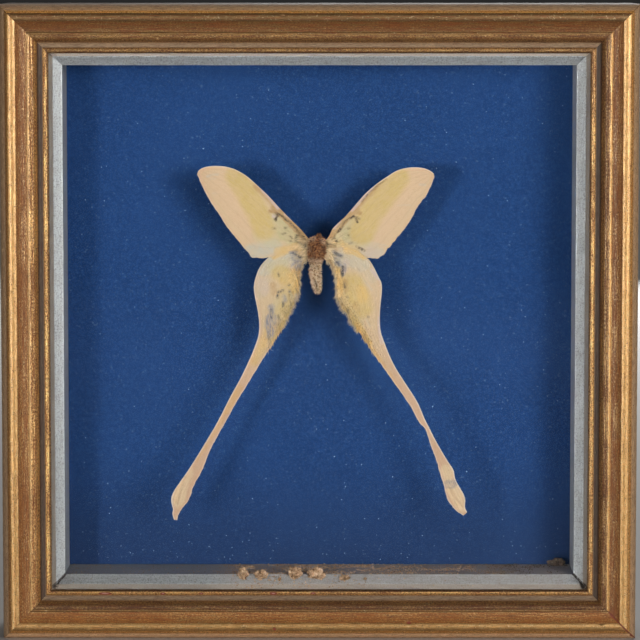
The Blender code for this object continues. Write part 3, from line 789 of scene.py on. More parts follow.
def finishPane():
    material, tree, shader = newMaterial(
        "picture glass", Base_Color=(0.97, 0.99, 0.98, 1), Roughness=0.0, IOR=1.12,
        Transmission_Weight=1.0)
    output = tree.nodes["Material Output"]
    passing = addNode(tree, "ShaderNodeBsdfTransparent", {"Color": (0.98, 0.99, 0.985, 1)})
    path = addNode(tree, "ShaderNodeLightPath")
    either = addNode(tree, "ShaderNodeMixShader",
                     {0: path.outputs["Is Shadow Ray"], 1: shader.outputs["BSDF"],
                      2: passing.outputs["BSDF"]})
    tree.links.new(either.outputs["Shader"], output.inputs["Surface"])
    wear("glass", material)


def wear(node, material):
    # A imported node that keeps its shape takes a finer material.
    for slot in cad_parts[node].material_slots:
        slot.material = material


def finishCard():
    material, tree, shader = newMaterial("blue card", Roughness=0.82, Specular_IOR_Level=0.14)
    place = objectPlace(tree)
    cloud = noiseField(tree, place, 22.0, 4.0)
    fibre = noiseField(tree, place, 1300.0, 4.0, 0.7)
    colour = blendColour(tree, remap(tree, cloud, 0.0, 1.0, 0.35, 0.65),
                         (0.0088, 0.0385, 0.135), (0.0122, 0.047, 0.158))
    colour = blendColour(tree, remap(tree, fibre, -0.7, 1.5, 0.36, 0.66),
                         colour, (0.0185, 0.063, 0.190))
    lint = speckleMask(tree, place, 1100.0, 0.63, 0.74)
    colour = blendColour(tree, product(tree, lint, 0.35), colour, (0.20, 0.26, 0.36))
    # The card turns darker and greyer towards its foot
    height = addNode(tree, "ShaderNodeSeparateXYZ", {"Vector": place}).outputs["Z"]
    foot = remap(tree, height, 0.38, 0.0, 0.022, 0.078, True)
    colour = blendColour(tree, foot, colour, (0.017, 0.019, 0.034))
    tree.links.new(colour, shader.inputs["Base Color"])
    bumpFrom(tree, fibre, 0.3, 0.00008, shader)
    wear("backing_card", material)


finishPane()
finishCard()
print("glass and card finished")


# Growth: copies of a small piece scattered on a surface, pointing along its "way"

growthInputs = (
    ("Geometry", "NodeSocketGeometry"), ("Sprig", "NodeSocketObject"),
    ("Density", "NodeSocketFloat"), ("Smallest", "NodeSocketFloat"),
    ("Largest", "NodeSocketFloat"), ("Stray", "NodeSocketFloat"), ("Seed", "NodeSocketInt"),
    ("Keep Surface", "NodeSocketBool"), ("Finish", "NodeSocketMaterial"))


def buildGrowth():
    tree = bpy.data.node_groups.new("growth", "GeometryNodeTree")
    for label, kind in growthInputs:
        tree.interface.new_socket(label, in_out="INPUT", socket_type=kind)
    tree.interface.new_socket("Geometry", in_out="OUTPUT", socket_type="NodeSocketGeometry")
    given = addNode(tree, "NodeGroupInput")
    result = addNode(tree, "NodeGroupOutput")
    bush, tall, way = (
        addNode(tree, "GeometryNodeInputNamedAttribute", {"Name": name}, data_type=kind)
        .outputs["Attribute"]
        for name, kind in (("bush", "FLOAT"), ("tall", "FLOAT"), ("way", "FLOAT_VECTOR")))
    density = product(tree, given.outputs["Density"], bush)
    points = addNode(tree, "GeometryNodeDistributePointsOnFaces",
                     {"Mesh": given.outputs["Geometry"], "Density": density,
                      "Seed": given.outputs["Seed"]})
    stray = addNode(tree, "FunctionNodeRandomValue",
                    {0: (-1, -1, -1), 1: (1, 1, 1), "Seed": given.outputs["Seed"]},
                    data_type="FLOAT_VECTOR")
    strayed = addNode(tree, "ShaderNodeVectorMath",
                      {0: stray.outputs[0], "Scale": given.outputs["Stray"]}, operation="SCALE")
    heading = addNode(tree, "ShaderNodeVectorMath",
                      {0: way, 1: strayed.outputs["Vector"]}, operation="ADD")
    twist = addNode(tree, "FunctionNodeRandomValue",
                    {0: (0, 0, -pi), 1: (0, 0, pi), "Seed": given.outputs["Seed"]},
                    data_type="FLOAT_VECTOR")
    turned = addNode(tree, "FunctionNodeAlignRotationToVector",
                     {"Rotation": twist.outputs[0], "Vector": heading.outputs["Vector"]}, axis="Z")
    size = addNode(tree, "FunctionNodeRandomValue", data_type="FLOAT")
    tree.links.new(given.outputs["Smallest"], size.inputs[2])
    tree.links.new(given.outputs["Largest"], size.inputs[3])
    tree.links.new(given.outputs["Seed"], size.inputs["Seed"])
    scale = product(tree, size.outputs[1], tall)
    sprig = addNode(tree, "GeometryNodeObjectInfo", {"Object": given.outputs["Sprig"]})
    grown = addNode(tree, "GeometryNodeInstanceOnPoints",
                    {"Points": points.outputs["Points"], "Instance": sprig.outputs["Geometry"],
                     "Rotation": turned.outputs["Rotation"], "Scale": scale})
    chance = addNode(tree, "FunctionNodeRandomValue",
                     {2: 0.5, 3: 1.5, "Seed": given.outputs["Seed"]}, data_type="FLOAT")
    marked = addNode(tree, "GeometryNodeStoreNamedAttribute",
                     {"Geometry": grown.outputs["Instances"], "Name": "luck",
                      "Value": chance.outputs[1]}, data_type="FLOAT", domain="INSTANCE")
    kept = addNode(tree, "GeometryNodeSwitch", {"Switch": given.outputs["Keep Surface"],
                   "True": given.outputs["Geometry"]}, input_type="GEOMETRY")
    joined = addNode(tree, "GeometryNodeJoinGeometry")
    tree.links.new(marked.outputs["Geometry"], joined.inputs["Geometry"])
    tree.links.new(kept.outputs["Output"], joined.inputs["Geometry"])
    real = addNode(tree, "GeometryNodeRealizeInstances", {"Geometry": joined.outputs["Geometry"]})
    finished = addNode(tree, "GeometryNodeSetMaterial",
                       {"Geometry": real.outputs["Geometry"], "Material": given.outputs["Finish"]})
    tree.links.new(finished.outputs["Geometry"], result.inputs["Geometry"])
    return tree


growth = buildGrowth()


def grow(surface, name, sprig, finish, density, smallest, largest, stray, seed, keep=False):
    # Density is a count on each square millimetre where the surface's bush is 1.
    step = surface.modifiers.new("growth", "NODES")
    step.node_group = growth
    values = {"Sprig": sprig, "Density": density / mm ** 2, "Smallest": smallest,
              "Largest": largest, "Stray": stray, "Seed": seed, "Keep Surface": keep,
              "Finish": finish}
    for socket in growth.interface.items_tree:
        if socket.in_out == "INPUT" and socket.name in values:
            step[socket.identifier] = values[socket.name]
    bpy.context.view_layer.update()
    graph = bpy.context.evaluated_depsgraph_get()
    mesh = bpy.data.meshes.new_from_object(surface.evaluated_get(graph))
    mesh.name = name
    mesh.materials.clear()
    mesh.materials.append(finish)
    mesh.polygons.foreach_set("material_index", [0] * len(mesh.polygons))
    surface.modifiers.remove(step)
    discard(surface)
    return addObject(name, mesh)


def discard(piece):
    mesh = piece.data
    bpy.data.objects.remove(piece, do_unlink=True)
    bpy.data.meshes.remove(mesh)


def attach(piece, extras):
    # The extras become part of the piece's mesh.
    with bpy.context.temp_override(active_object=piece, object=piece,
                                   selected_editable_objects=[piece] + extras,
                                   selected_objects=[piece] + extras):
        bpy.ops.object.join()


def storeWays(piece, ways):
    layer = piece.data.attributes.new("way", "FLOAT_VECTOR", "POINT")
    layer.data.foreach_set("vector", np.asarray(ways, dtype=np.float32).ravel())


def spike(name, width, bend, rings=3):
    # A hair a millimetre long with three sides, growing up local Z and curving over.
    sides = 3
    vertices = []
    for ring in range(rings):
        height = ring / rings
        thick = width * (1 - height) ** 0.7
        for side in range(sides):
            turn = 2 * pi * side / sides
            vertices.append((thick * cos(turn) + bend * height ** 2, thick * sin(turn), height))
    vertices.append((bend, 0, 1))
    low = (rings - 1) * sides
    faces = [tuple(range(sides))[::-1]] + gridFaces(rings, sides, closed=True)
    for side in range(sides):
        faces.append((low + side, low + (side + 1) % sides, len(vertices) - 1))
    piece = meshPiece(name, [tuple(c * mm for c in v) for v in vertices], faces)
    storeValues(piece, "tip", [v[2] for v in vertices])
    return piece


def lump(name, seed, squash, rough, divisions=2):
    # A rough grain about a millimetre in radius.
    def moved(spot):
        bulge = 1 + rough * noise.noise(spot * 1.9 + Vector((seed, 0, 0)))
        return Vector(c * s for c, s in zip(spot * bulge * mm, squash))
    return ballPiece(name, divisions, moved)


fineHair = spike("fine hair", 0.026, 0.25)
scaleHair = spike("scale hair", 0.09, 0.18, rings=2)
furTuft = spike("tuft", 0.08, 0.3)
grainSprig = lump("grain", 3.0, (0.58, 0.58, 1.2), 0.4)
flakeSprig = lump("flake", 8.0, (1.0, 0.75, 0.5), 0.5, 1)


# Hairs on the wings' margins

fringes = {
    # margin, first and last share of the length, count on a millimetre, length
    "forewing_left": [("rear", 0.34, 1.0, 16, 0.62)],
    "forewing_right": [("rear", 0.34, 1.0, 16, 0.62)],
    "hindwing_left": [("rear", 0.02, 0.32, 30, 2.0), ("rear", 0.30, 1.0, 12, 0.55),
                      ("front", 0.10, 1.0, 10, 0.5)],
    "hindwing_right": [("rear", 0.02, 0.36, 32, 2.3), ("rear", 0.34, 1.0, 12, 0.55),
                       ("front", 0.10, 1.0, 10, 0.5)],
    "stripWidth": 0.3, "seed": 60, "sizes": {"smallest": 0.6, "largest": 1.25, "stray": 0.28},
}


def fringeStrip(name, front, margin, first, last, length):
    # A narrow strip along one margin of the front sheet, hairs pointing off the wing.
    rows, columns = front.shape[:2]
    low, high = int(first * (rows - 1)), int(last * (rows - 1))
    edgeColumn, inner = (columns - 1, columns - 9) if margin == "rear" else (0, 8)
    rim = front[low:high + 1, edgeColumn]
    out = unit(rim - front[low:high + 1, inner])
    slope = unit(np.gradient(rim, axis=0))
    strip = np.stack([rim - out * fringes["stripWidth"], rim], axis=1) * mm
    piece = meshPiece(name, strip.reshape(-1, 3), gridFaces(len(rim), 2))
    ways = out + 0.55 * slope + np.array([0, -0.12, 0])
    storeWays(piece, np.repeat(ways, 2, axis=0))
    count = len(rim) * 2
    ragged = 0.75 + 0.25 * np.sin(np.arange(count) * 0.37) * np.sin(np.arange(count) * 0.11)
    storeValues(piece, "bush", np.ones(count))
    storeValues(piece, "tall", length * ragged)
    return piece


def hairMaterial(name, root, tip):
    material, tree, shader = newMaterial(name, Roughness=0.75, Specular_IOR_Level=0.25,
                                         Sheen_Weight=0.2)
    fleck = noiseField(tree, objectPlace(tree), 900.0, 2.0)
    colour = blendColour(tree, readValue(tree, "tip"), root, tip)
    colour = tint(tree, colour, (0.7, 0.62, 0.55), remap(tree, fleck, 0.0, 0.6, 0.45, 0.7))
    tree.links.new(colour, shader.inputs["Base Color"])
    return material


fringeHair = hairMaterial("pale fringe", (0.64, 0.48, 0.29), (0.78, 0.65, 0.48))


def fringeWing(name, piece, front):
    extras = []
    for number, (margin, first, last, count, length) in enumerate(fringes[name]):
        strip = fringeStrip(name + " strip", front, margin, first, last, length)
        extras.append(grow(strip, name + " fringe", fineHair, fringeHair,
                           count / fringes["stripWidth"], **fringes["sizes"],
                           seed=fringes["seed"] + number))
    attach(piece, extras)


# The wings

# Ribs from the root outwards: front edge x, z, then rear edge x, z, in
# millimetres from the middle of the thorax
wingRibs = {
    "forewing_left": [
        (-2.4, 2.4, -2.5, -0.6), (-6.0, 6.8, -7.5, -0.7), (-10.4, 11.2, -12.6, -2.0),
        (-14.7, 15.6, -18.8, -4.0), (-19.1, 20.4, -24.8, -4.4), (-21.2, 22.5, -26.4, -3.7),
        (-23.4, 24.5, -27.6, -2.1), (-27.8, 28.4, -32.6, 4.0), (-32.1, 31.0, -36.1, 8.3),
        (-36.0, 32.3, -39.1, 13.1), (-40.0, 32.7, -42.6, 18.4), (-43.5, 32.5, -45.2, 23.2),
        (-46.1, 31.7, -47.4, 28.0), (-47.5, 30.6, -47.9, 29.4)],
    "forewing_right": [
        (2.5, 1.0, 2.6, -2.4), (4.9, 4.4, 7.5, -3.2), (6.6, 7.6, 11.0, -3.8),
        (9.2, 10.2, 15.4, -4.2), (11.7, 12.5, 21.0, -4.4), (15.2, 16.6, 24.6, -4.6),
        (17.4, 19.1, 26.8, -3.2), (19.6, 21.6, 28.9, -0.6), (23.9, 25.3, 32.9, 4.4),
        (28.2, 28.3, 35.4, 7.6), (31.7, 30.5, 38.2, 11.9), (35.3, 31.7, 40.7, 16.6),
        (38.9, 32.1, 43.6, 20.2), (42.5, 31.8, 45.4, 23.8), (45.3, 30.8, 46.6, 26.7),
        (46.9, 29.6, 47.2, 28.4)],
    "hindwing_left": [
        (-2.4, 0.4, -2.3, -4.2), (-11.0, 0.8, -5.2, -6.3), (-16.5, -1.2, -6.4, -9.0),
        (-19.8, -4.5, -6.9, -12.2), (-22.7, -7.8, -6.9, -16.4), (-24.3, -11.5, -7.3, -19.4),
        (-25.3, -15.6, -8.7, -22.2), (-24.9, -19.8, -11.2, -27.2), (-23.9, -24.7, -13.6, -32.1),
        (-23.3, -28.8, -15.0, -34.6), (-23.1, -32.1, -16.5, -37.0), (-23.5, -35.8, -18.1, -39.6),
        (-24.8, -39.9, -19.8, -42.3), (-26.8, -44.8, -22.7, -46.9), (-30.5, -52.6, -27.2, -54.1),
        (-35.0, -60.8, -32.1, -62.2), (-39.6, -69.8, -37.2, -71.2), (-45.2, -79.4, -42.4, -80.6),
        (-50.5, -87.9, -45.7, -88.6), (-53.1, -91.8, -47.0, -91.6), (-55.3, -94.9, -48.6, -94.1),
        (-57.3, -97.8, -50.0, -96.9), (-58.5, -100.6, -50.8, -99.8),
        (-58.5, -102.9, -51.9, -102.2), (-57.9, -105.4, -54.6, -105.7),
        (-58.1, -107.4, -55.6, -107.5), (-57.5, -109.7, -56.3, -109.9)],
    "hindwing_right": [
        (2.4, -0.8, 2.2, -4.2), (10.0, 0.0, 5.3, -6.3), (15.4, -0.8, 6.4, -8.4),
        (19.4, -3.8, 7.4, -11.0), (21.3, -5.4, 8.0, -14.5), (23.0, -8.2, 7.9, -17.3),
        (24.6, -11.5, 8.2, -20.4), (26.0, -14.4, 9.4, -23.1), (26.2, -17.8, 10.5, -25.0),
        (25.8, -21.4, 12.3, -26.8), (25.4, -26.3, 15.6, -32.5), (25.4, -31.3, 18.0, -35.8),
        (26.0, -35.0, 19.8, -38.4), (27.5, -39.1, 22.2, -42.0), (29.5, -44.0, 25.4, -46.4),
        (32.0, -48.9, 28.7, -50.9), (35.4, -54.2, 32.2, -55.9), (40.4, -62.0, 37.6, -63.6),
        (43.4, -68.8, 41.1, -69.9), (45.2, -72.3, 43.7, -73.2), (48.0, -77.8, 45.6, -78.6),
        (52.1, -84.8, 48.3, -86.0), (54.9, -89.2, 49.6, -90.4), (55.5, -92.0, 50.4, -93.0),
        (56.2, -94.0, 51.1, -95.3), (57.8, -96.8, 51.7, -98.0), (59.1, -99.1, 52.4, -100.5),
        (59.8, -101.5, 53.8, -103.0), (59.7, -104.5, 56.2, -105.8), (60.6, -106.4, 59.0, -107.9)]}

# Painted shares of each tone: half width, soft edge and strength of a stroke, then
# the points that it follows, in millimetres from the middle of the thorax
wingMarks = {
    "forewing_left": {
        "yellow": [
            (3.02, 2.82, 0.95, [(-32.0, 28.6), (-27.6, 21.4), (-24.0, 14.5), (-21.2, 7.7)])],
        "green": [(2.42, 3.22, 0.8, [(-15.9, 10.1), (-12.3, 6.1), (-7.9, 3.7)]),
            (2.02, 2.82, 0.5, [(-22.0, 4.5), (-16.8, 3.7)])],
        "orange": [(0.89, 1.37, 0.7, [(-15.6, -1.7), (-10.7, -0.6), (-5.5, 1.3)])],
        "grey": [(1.61, 2.42, 0.86, [(-26.8, -2.0), (-22.0, -1.0), (-17.2, 0.4)]),
            (0.28, 0.48, 0.52, [(-44.0, 28.6), (-41.6, 29.2), (-39.6, 29.4)]),
            (0.2, 0.4, 0.22, [(-42.8, 27.6), (-40.4, 27.7)]),
            (0.16, 0.4, 0.3, [(-25.6, 1.4), (-22.0, 2.5), (-18.0, 3.5)]),
            (0.16, 0.4, 0.22, [(-22.0, -0.4), (-14.7, 2.3)]),
            (0.24, 0.48, 0.26, [(-41.6, 21.8), (-40.4, 21.8)])],
        "tan": [(0.56, 1.05, 0.75, [(-24.4, 24.6), (-20.3, 20.6), (-16.7, 16.5)]),
            (1.29, 0.89, 0.85, [(-16.7, 16.1), (-12.3, 12.1), (-7.9, 7.7), (-4.7, 4.5)]),
            (0.4, 0.64, 0.9, [(-18.7, 14.5), (-15.9, 14.3), (-13.9, 13.3)]),
            (0.6, 1.01, 0.5, [(-5.5, 2.9), (-3.5, 2.5)])],
        "mark": [(0.14, 0.45, 0.68, [(-14.3, 12.9), (-10.7, 9.9), (-7.1, 6.3), (-3.9, 2.9)]),
            (0.24, 0.45, 0.8, [(-14.9, 13.3), (-16.0, 12.7), (-16.6, 11.0)]),
            (0.16, 0.45, 0.48, [(-17.1, 13.3), (-15.5, 13.6)]),
            (0.2, 0.45, 0.44, [(-18.0, 7.5), (-16.7, 7.6)]),
            (0.2, 0.45, 0.4, [(-12.9, 7.9), (-11.7, 8.1)]),
            (0.2, 0.45, 0.4, [(-13.7, 5.3), (-12.5, 5.7)]),
            (0.2, 0.45, 0.48, [(-10.7, 4.5), (-9.9, 3.8)]),
            (0.2, 0.4, 0.4, [(-10.9, 2.5), (-9.9, 2.5)]),
            (0.28, 0.45, 0.72, [(-8.3, 3.7), (-7.7, 4.7), (-7.2, 5.4)]),
            (0.2, 0.45, 0.56, [(-7.9, 2.7), (-6.3, 1.9), (-5.1, 1.3)]),
            (0.32, 0.66, 0.72, [(-4.3, 0.4), (-3.5, 1.7)])],
        "lilac": [(0.52, 0.48, 0.8, [(-17.3, 12.5), (-16.7, 12.3)]),
            (0.32, 0.56, 0.8, [(-21.9, 23.0), (-18.7, 19.4), (-15.5, 15.7)]),
            (0.32, 0.48, 0.6, [(-12.7, 13.3), (-10.3, 11.3)])],
        "cream": [(0.89, 1.61, 0.85, [(-5.5, 2.9), (-4.3, 0.0)]),
            (0.56, 1.21, 0.5, [(-8.3, 0.4), (-5.9, 0.4)])],
    },
    "forewing_right": {
        "yellow": [
            (3.43, 3.22, 0.95,
             [(31.8, 27.8), (27.8, 22.2), (23.8, 17.0), (20.2, 11.7), (18.2, 6.1)])],
        "green": [(2.42, 3.22, 0.8, [(14.2, 8.5), (11.4, 5.7), (7.8, 3.3)]),
            (2.02, 2.82, 0.5, [(18.2, 2.9), (13.4, 2.9)])],
        "orange": [(1.05, 1.61, 0.5, [(15.8, -1.2), (11.8, -0.4), (8.6, 0.4), (5.3, 1.7)]),
            (0.81, 1.21, 0.5, [(9.8, 1.7), (10.2, -0.4)])],
        "grey": [(2.02, 2.42, 0.49, [(15.8, 0.4), (19.8, -0.4), (24.2, -2.4)]),
            (0.24, 0.48, 0.38, [(41.4, 25.2), (43.5, 25.2)]),
            (0.16, 0.4, 0.34, [(16.6, 2.7), (22.2, 1.9), (29.9, 0.1)]),
            (0.16, 0.4, 0.3, [(19.4, 0.5), (24.6, -0.1)]),
            (0.16, 0.4, 0.22, [(32.6, 16.8), (37.5, 17.0)])],
        "tan": [(0.48, 0.97, 0.7, [(24.6, 25.0), (20.2, 20.6), (16.6, 16.6)]),
            (1.21, 0.89, 0.85, [(15.8, 15.7), (12.2, 12.1), (8.6, 8.5), (5.3, 4.5)]),
            (0.4, 0.64, 0.9, [(13.0, 13.1), (15.4, 13.9), (17.4, 13.6)]),
            (0.6, 1.21, 0.5, [(3.3, 1.7), (5.7, 0.0)])],
        "mark": [(0.14, 0.45, 0.4, [(18.2, 18.2), (21.0, 21.8), (24.6, 24.8), (27.8, 27.2)]),
            (0.28, 0.45, 0.8, [(13.6, 11.6), (14.7, 12.3), (15.5, 11.8), (16.3, 10.0)]),
            (0.2, 0.5, 0.48, [(16.2, 12.0), (17.2, 11.3)]),
            (0.16, 0.45, 0.48, [(12.6, 11.5), (10.2, 8.9)]),
            (0.32, 0.45, 0.8, [(8.3, 6.2), (9.2, 6.6), (9.6, 7.3)]),
            (0.2, 0.4, 0.64, [(10.0, 7.5), (10.6, 8.3)]),
            (0.24, 0.45, 0.72, [(5.7, 3.5), (7.0, 2.9), (8.2, 2.1)]),
            (0.2, 0.45, 0.32, [(12.6, 7.3), (13.4, 7.5)]),
            (0.24, 0.45, 0.36, [(12.8, 4.9), (13.0, 4.1)]),
            (0.2, 0.45, 0.32, [(13.0, 1.5), (14.2, 1.9)]),
            # painted shadow of the hindwing's front edge falling on the forewing
            (0.28, 0.55, 0.48, [(16.2, 0.0), (17.8, -0.6), (19.0, -1.4)]),
            (0.2, 0.5, 0.32, [(10.2, -1.2), (11.4, -1.6)]),
            (0.28, 0.6, 0.64, [(2.9, 0.4), (4.1, 1.3)])],
        "lilac": [(0.36, 0.56, 0.8, [(22.2, 23.8), (18.2, 19.4), (14.2, 14.9)]),
            (0.32, 0.56, 0.5, [(9.4, 10.5), (7.0, 7.7)]),
            (1.21, 1.61, 0.35, [(21.4, -2.0), (24.6, -3.2)])],
        "cream": [(0.89, 1.61, 0.85, [(4.9, 2.9), (4.5, -0.4)]),
            (0.56, 1.21, 0.5, [(8.6, 0.0), (5.7, 0.4)])],
    },
    "hindwing_left": {
        "yellow": [(2.02, 2.42, 0.8, [(-14.8, -10.4), (-11.9, -12.1), (-9.1, -14.9)]),
            (0.97, 1.21, 0.8, [(-6.7, -20.1), (-10.3, -25.8), (-13.6, -31.5), (-17.2, -37.9)]),
            (1.21, 2.02, 0.5, [(-13.6, -18.1), (-12.4, -22.6), (-14.4, -26.2)])],
        "green": [(2.42, 2.82, 0.5, [(-12.0, -21.3), (-14.8, -25.4)]),
            (1.21, 2.02, 0.5, [(-18.0, -8.4), (-13.5, -6.8)])],
        "orange": [(1.01, 1.41, 0.65, [(-8.3, -9.2), (-7.5, -13.3), (-8.3, -17.3)]),
            (1.21, 1.61, 0.45, [(-13.2, -14.1), (-9.9, -12.1)]),
            (1.01, 1.61, 0.6, [(-19.6, -33.5), (-22.0, -39.6), (-25.3, -46.4)]),
            (0.64, 1.21, 0.8, [(-16.8, -3.6), (-10.7, -1.2), (-5.5, 0.0)]),
            (0.73, 1.61, 0.5, [(-38.2, -69.2), (-43.9, -77.3), (-48.8, -84.6)]),
            (0.89, 1.61, 0.6, [(-31.7, -57.0), (-36.6, -65.9)])],
        "grey": [(2.22, 2.42, 0.83, [(-22.0, -8.4), (-18.0, -6.4), (-11.9, -4.0)]),
            (2.02, 2.82, 0.3, [(-22.0, -13.3), (-22.8, -17.3)]),
            (0.24, 0.4, 0.52, [(-16.2, -8.4), (-14.4, -7.0)]),
            (0.24, 0.4, 0.45, [(-13.3, -6.2), (-11.1, -4.8)]),
            (0.24, 0.4, 0.45, [(-12.7, -9.1), (-11.5, -8.0)]),
            (0.24, 0.48, 0.38, [(-18.8, -8.0), (-17.2, -7.2)]),
            (0.2, 0.48, 0.45, [(-53.7, -93.6), (-55.7, -99.3), (-56.7, -103.8)])],
        "slate": [(1.05, 1.37, 0.8, [(-9.5, -2.8), (-7.9, -4.8), (-7.1, -6.4)]),
            (0.73, 0.97, 0.7, [(-9.1, -7.2), (-7.9, -7.6)]),
            (0.64, 1.05, 0.75, [(-18.4, -24.2), (-18.0, -27.8)]),
            (0.97, 1.21, 0.85, [(-18.8, -28.6), (-19.2, -32.3), (-18.8, -35.1)]),
            (0.48, 0.81, 0.6, [(-16.8, -28.2), (-17.2, -30.6)]),
            (0.64, 0.97, 0.6, [(-13.2, -20.1), (-12.8, -21.3)]),
            (0.48, 0.81, 0.6, [(-7.1, -18.5), (-7.9, -20.1)])],
        "tan": [(0.73, 1.21, 0.5, [(-17.6, -15.3), (-17.2, -18.1)]),
            (0.48, 0.81, 0.6, [(-5.5, -6.0), (-4.7, -8.4)]),
            (0.4, 0.97, 0.6, [(-6.5, -8.4), (-6.1, -13.3), (-7.1, -17.7)])],
        "mark": [(0.28, 0.45, 0.72, [(-6.9, -3.4), (-5.5, -3.5)]),
            (0.28, 0.45, 0.48, [(-9.5, -2.4), (-8.3, -3.0)]),
            (0.24, 0.4, 0.56, [(-11.4, -15.3), (-10.9, -15.0)]),
            (0.24, 0.4, 0.64, [(-11.0, -18.1), (-10.6, -17.7)]),
            (0.24, 0.45, 0.56, [(-15.8, -20.5), (-15.4, -18.1)]),
            (0.24, 0.45, 0.56, [(-14.8, -17.9), (-13.8, -17.3)]),
            (0.24, 0.4, 0.56, [(-13.4, -22.4), (-13.6, -24.2)]),
            (0.28, 0.45, 0.56, [(-7.0, -13.5), (-6.5, -16.1)]),
            (0.24, 0.4, 0.4, [(-8.3, -16.1), (-8.1, -17.3)]),
            (0.24, 0.4, 0.4, [(-15.3, -27.4), (-15.2, -29.0)]),
            (0.2, 0.45, 0.4, [(-15.7, -10.4), (-15.3, -11.7)]),
            (0.2, 0.45, 0.4, [(-8.3, -10.4), (-7.9, -11.7)]),
            (0.24, 0.45, 0.4, [(-18.4, -25.4), (-18.2, -28.6)]),
            (0.2, 0.45, 0.32, [(-19.6, -35.9), (-19.0, -37.9)]),
            (0.2, 0.45, 0.4, [(-10.7, -23.4), (-10.3, -22.2)])],
        "lilac": [(1.21, 2.02, 0.4, [(-22.0, -14.1), (-21.2, -17.3)]),
            (0.48, 0.81, 0.6, [(-8.3, -21.3), (-6.7, -19.3)]),
            (0.4, 0.64, 0.6, [(-23.6, -28.6), (-23.6, -33.5), (-24.1, -36.7)])],
        "cream": [(2.02, 2.02, 0.9, [(-52.8, -90.4), (-55.3, -96.9), (-56.1, -101.8)]),
            (0.81, 1.41, 0.8, [(-4.3, -1.2), (-5.1, -3.6), (-6.7, -6.0)])],
    },
    "hindwing_right": {
        "yellow": [(2.82, 3.22, 0.9, [(14.2, -14.9), (16.2, -19.3), (18.2, -23.8)]),
            (0.97, 1.21, 0.8, [(11.8, -24.6), (15.0, -28.6), (17.8, -33.5), (20.7, -37.9)]),
            (1.61, 2.02, 0.6, [(9.4, -20.1), (11.8, -22.1)])],
        "green": [(1.21, 2.02, 0.4, [(14.2, -26.2), (16.6, -30.2)])],
        "orange": [(1.21, 1.21, 0.95, [(8.2, -9.2), (9.2, -14.1), (8.6, -18.9)]),
            (1.01, 2.02, 0.7, [(17.8, -17.3), (18.6, -20.9)]),
            (0.64, 1.21, 0.8, [(11.8, -1.2), (15.8, -2.0), (19.0, -4.0)]),
            (1.01, 1.61, 0.6, [(16.6, -31.9), (21.5, -41.6), (27.1, -50.5)]),
            (0.73, 1.61, 0.5, [(32.8, -59.4), (37.6, -67.5), (42.5, -75.7)]),
            (1.05, 1.61, 0.7, [(19.9, -38.3), (24.7, -46.4), (31.2, -57.0)]),
            (0.81, 1.61, 0.6, [(35.2, -62.7), (40.1, -71.6)])],
        "grey": [(2.42, 2.42, 0.6, [(10.2, -4.4), (14.2, -4.4), (18.2, -6.4)]),
            (1.61, 2.42, 0.3, [(20.6, -8.4), (22.2, -11.6)]),
            (0.2, 0.48, 0.3, [(17.4, -11.6), (22.2, -17.3)]),
            (0.16, 0.48, 0.3, [(18.2, -25.4), (21.5, -31.9)]),
            (0.2, 0.48, 0.45, [(53.5, -98.1), (55.1, -101.3), (56.3, -104.6)]),
            (0.97, 1.61, 0.3, [(52.3, -93.6), (55.9, -96.8)])],
        "slate": [(0.81, 1.05, 0.75, [(7.8, -4.8), (9.0, -6.8)]),
            (0.48, 0.81, 0.7, [(6.6, -1.8), (9.8, -3.6)]),
            (0.48, 0.81, 0.6, [(11.0, -7.2), (10.6, -10.8)]),
            (0.97, 1.21, 0.75, [(52.7, -95.2), (54.7, -95.2), (56.3, -93.6)])],
        "tan": [(0.56, 0.97, 0.5, [(11.4, -13.7), (11.8, -17.3)]),
            (0.64, 1.21, 0.6, [(5.3, -6.0), (6.6, -8.8)]),
            (0.73, 1.21, 0.4, [(15.4, -23.4), (16.2, -25.0)])],
        "mark": [(0.28, 0.45, 0.56, [(7.0, -2.1), (8.2, -2.5), (9.8, -3.6)]),
            (0.24, 0.45, 0.56, [(8.2, -6.0), (9.0, -6.8)]),
            (0.32, 0.5, 0.68, [(10.6, -7.9), (10.2, -9.2), (10.3, -11.2)]),
            (0.24, 0.4, 0.64, [(8.3, -21.3), (8.7, -22.1)]),
            (0.24, 0.4, 0.64, [(12.2, -25.1), (12.8, -25.3)]),
            (0.2, 0.45, 0.4, [(11.3, -14.5), (11.5, -16.1)]),
            (0.2, 0.4, 0.4, [(9.5, -20.1), (9.8, -20.5)]),
            (0.2, 0.4, 0.32, [(12.2, -20.1), (12.8, -20.5)]),
            (0.16, 0.4, 0.4, [(20.6, -27.8), (21.1, -28.2)])],
        "lilac": [(0.4, 0.64, 0.7, [(22.2, -9.2), (24.7, -12.5)]),
            (0.81, 1.21, 0.4, [(11.8, -6.0), (11.0, -8.4)]),
            (0.4, 0.81, 0.6, [(25.2, -28.6), (25.2, -34.3), (26.3, -38.3)])],
        "cream": [(2.02, 2.02, 0.9, [(52.3, -90.3), (55.1, -96.8), (58.4, -103.4)]),
            (0.89, 1.41, 0.9, [(4.5, -1.2), (5.3, -6.0), (6.6, -13.3)]),
            (0.64, 1.21, 0.5, [(7.0, -15.7), (9.4, -21.3)])],
    },
}

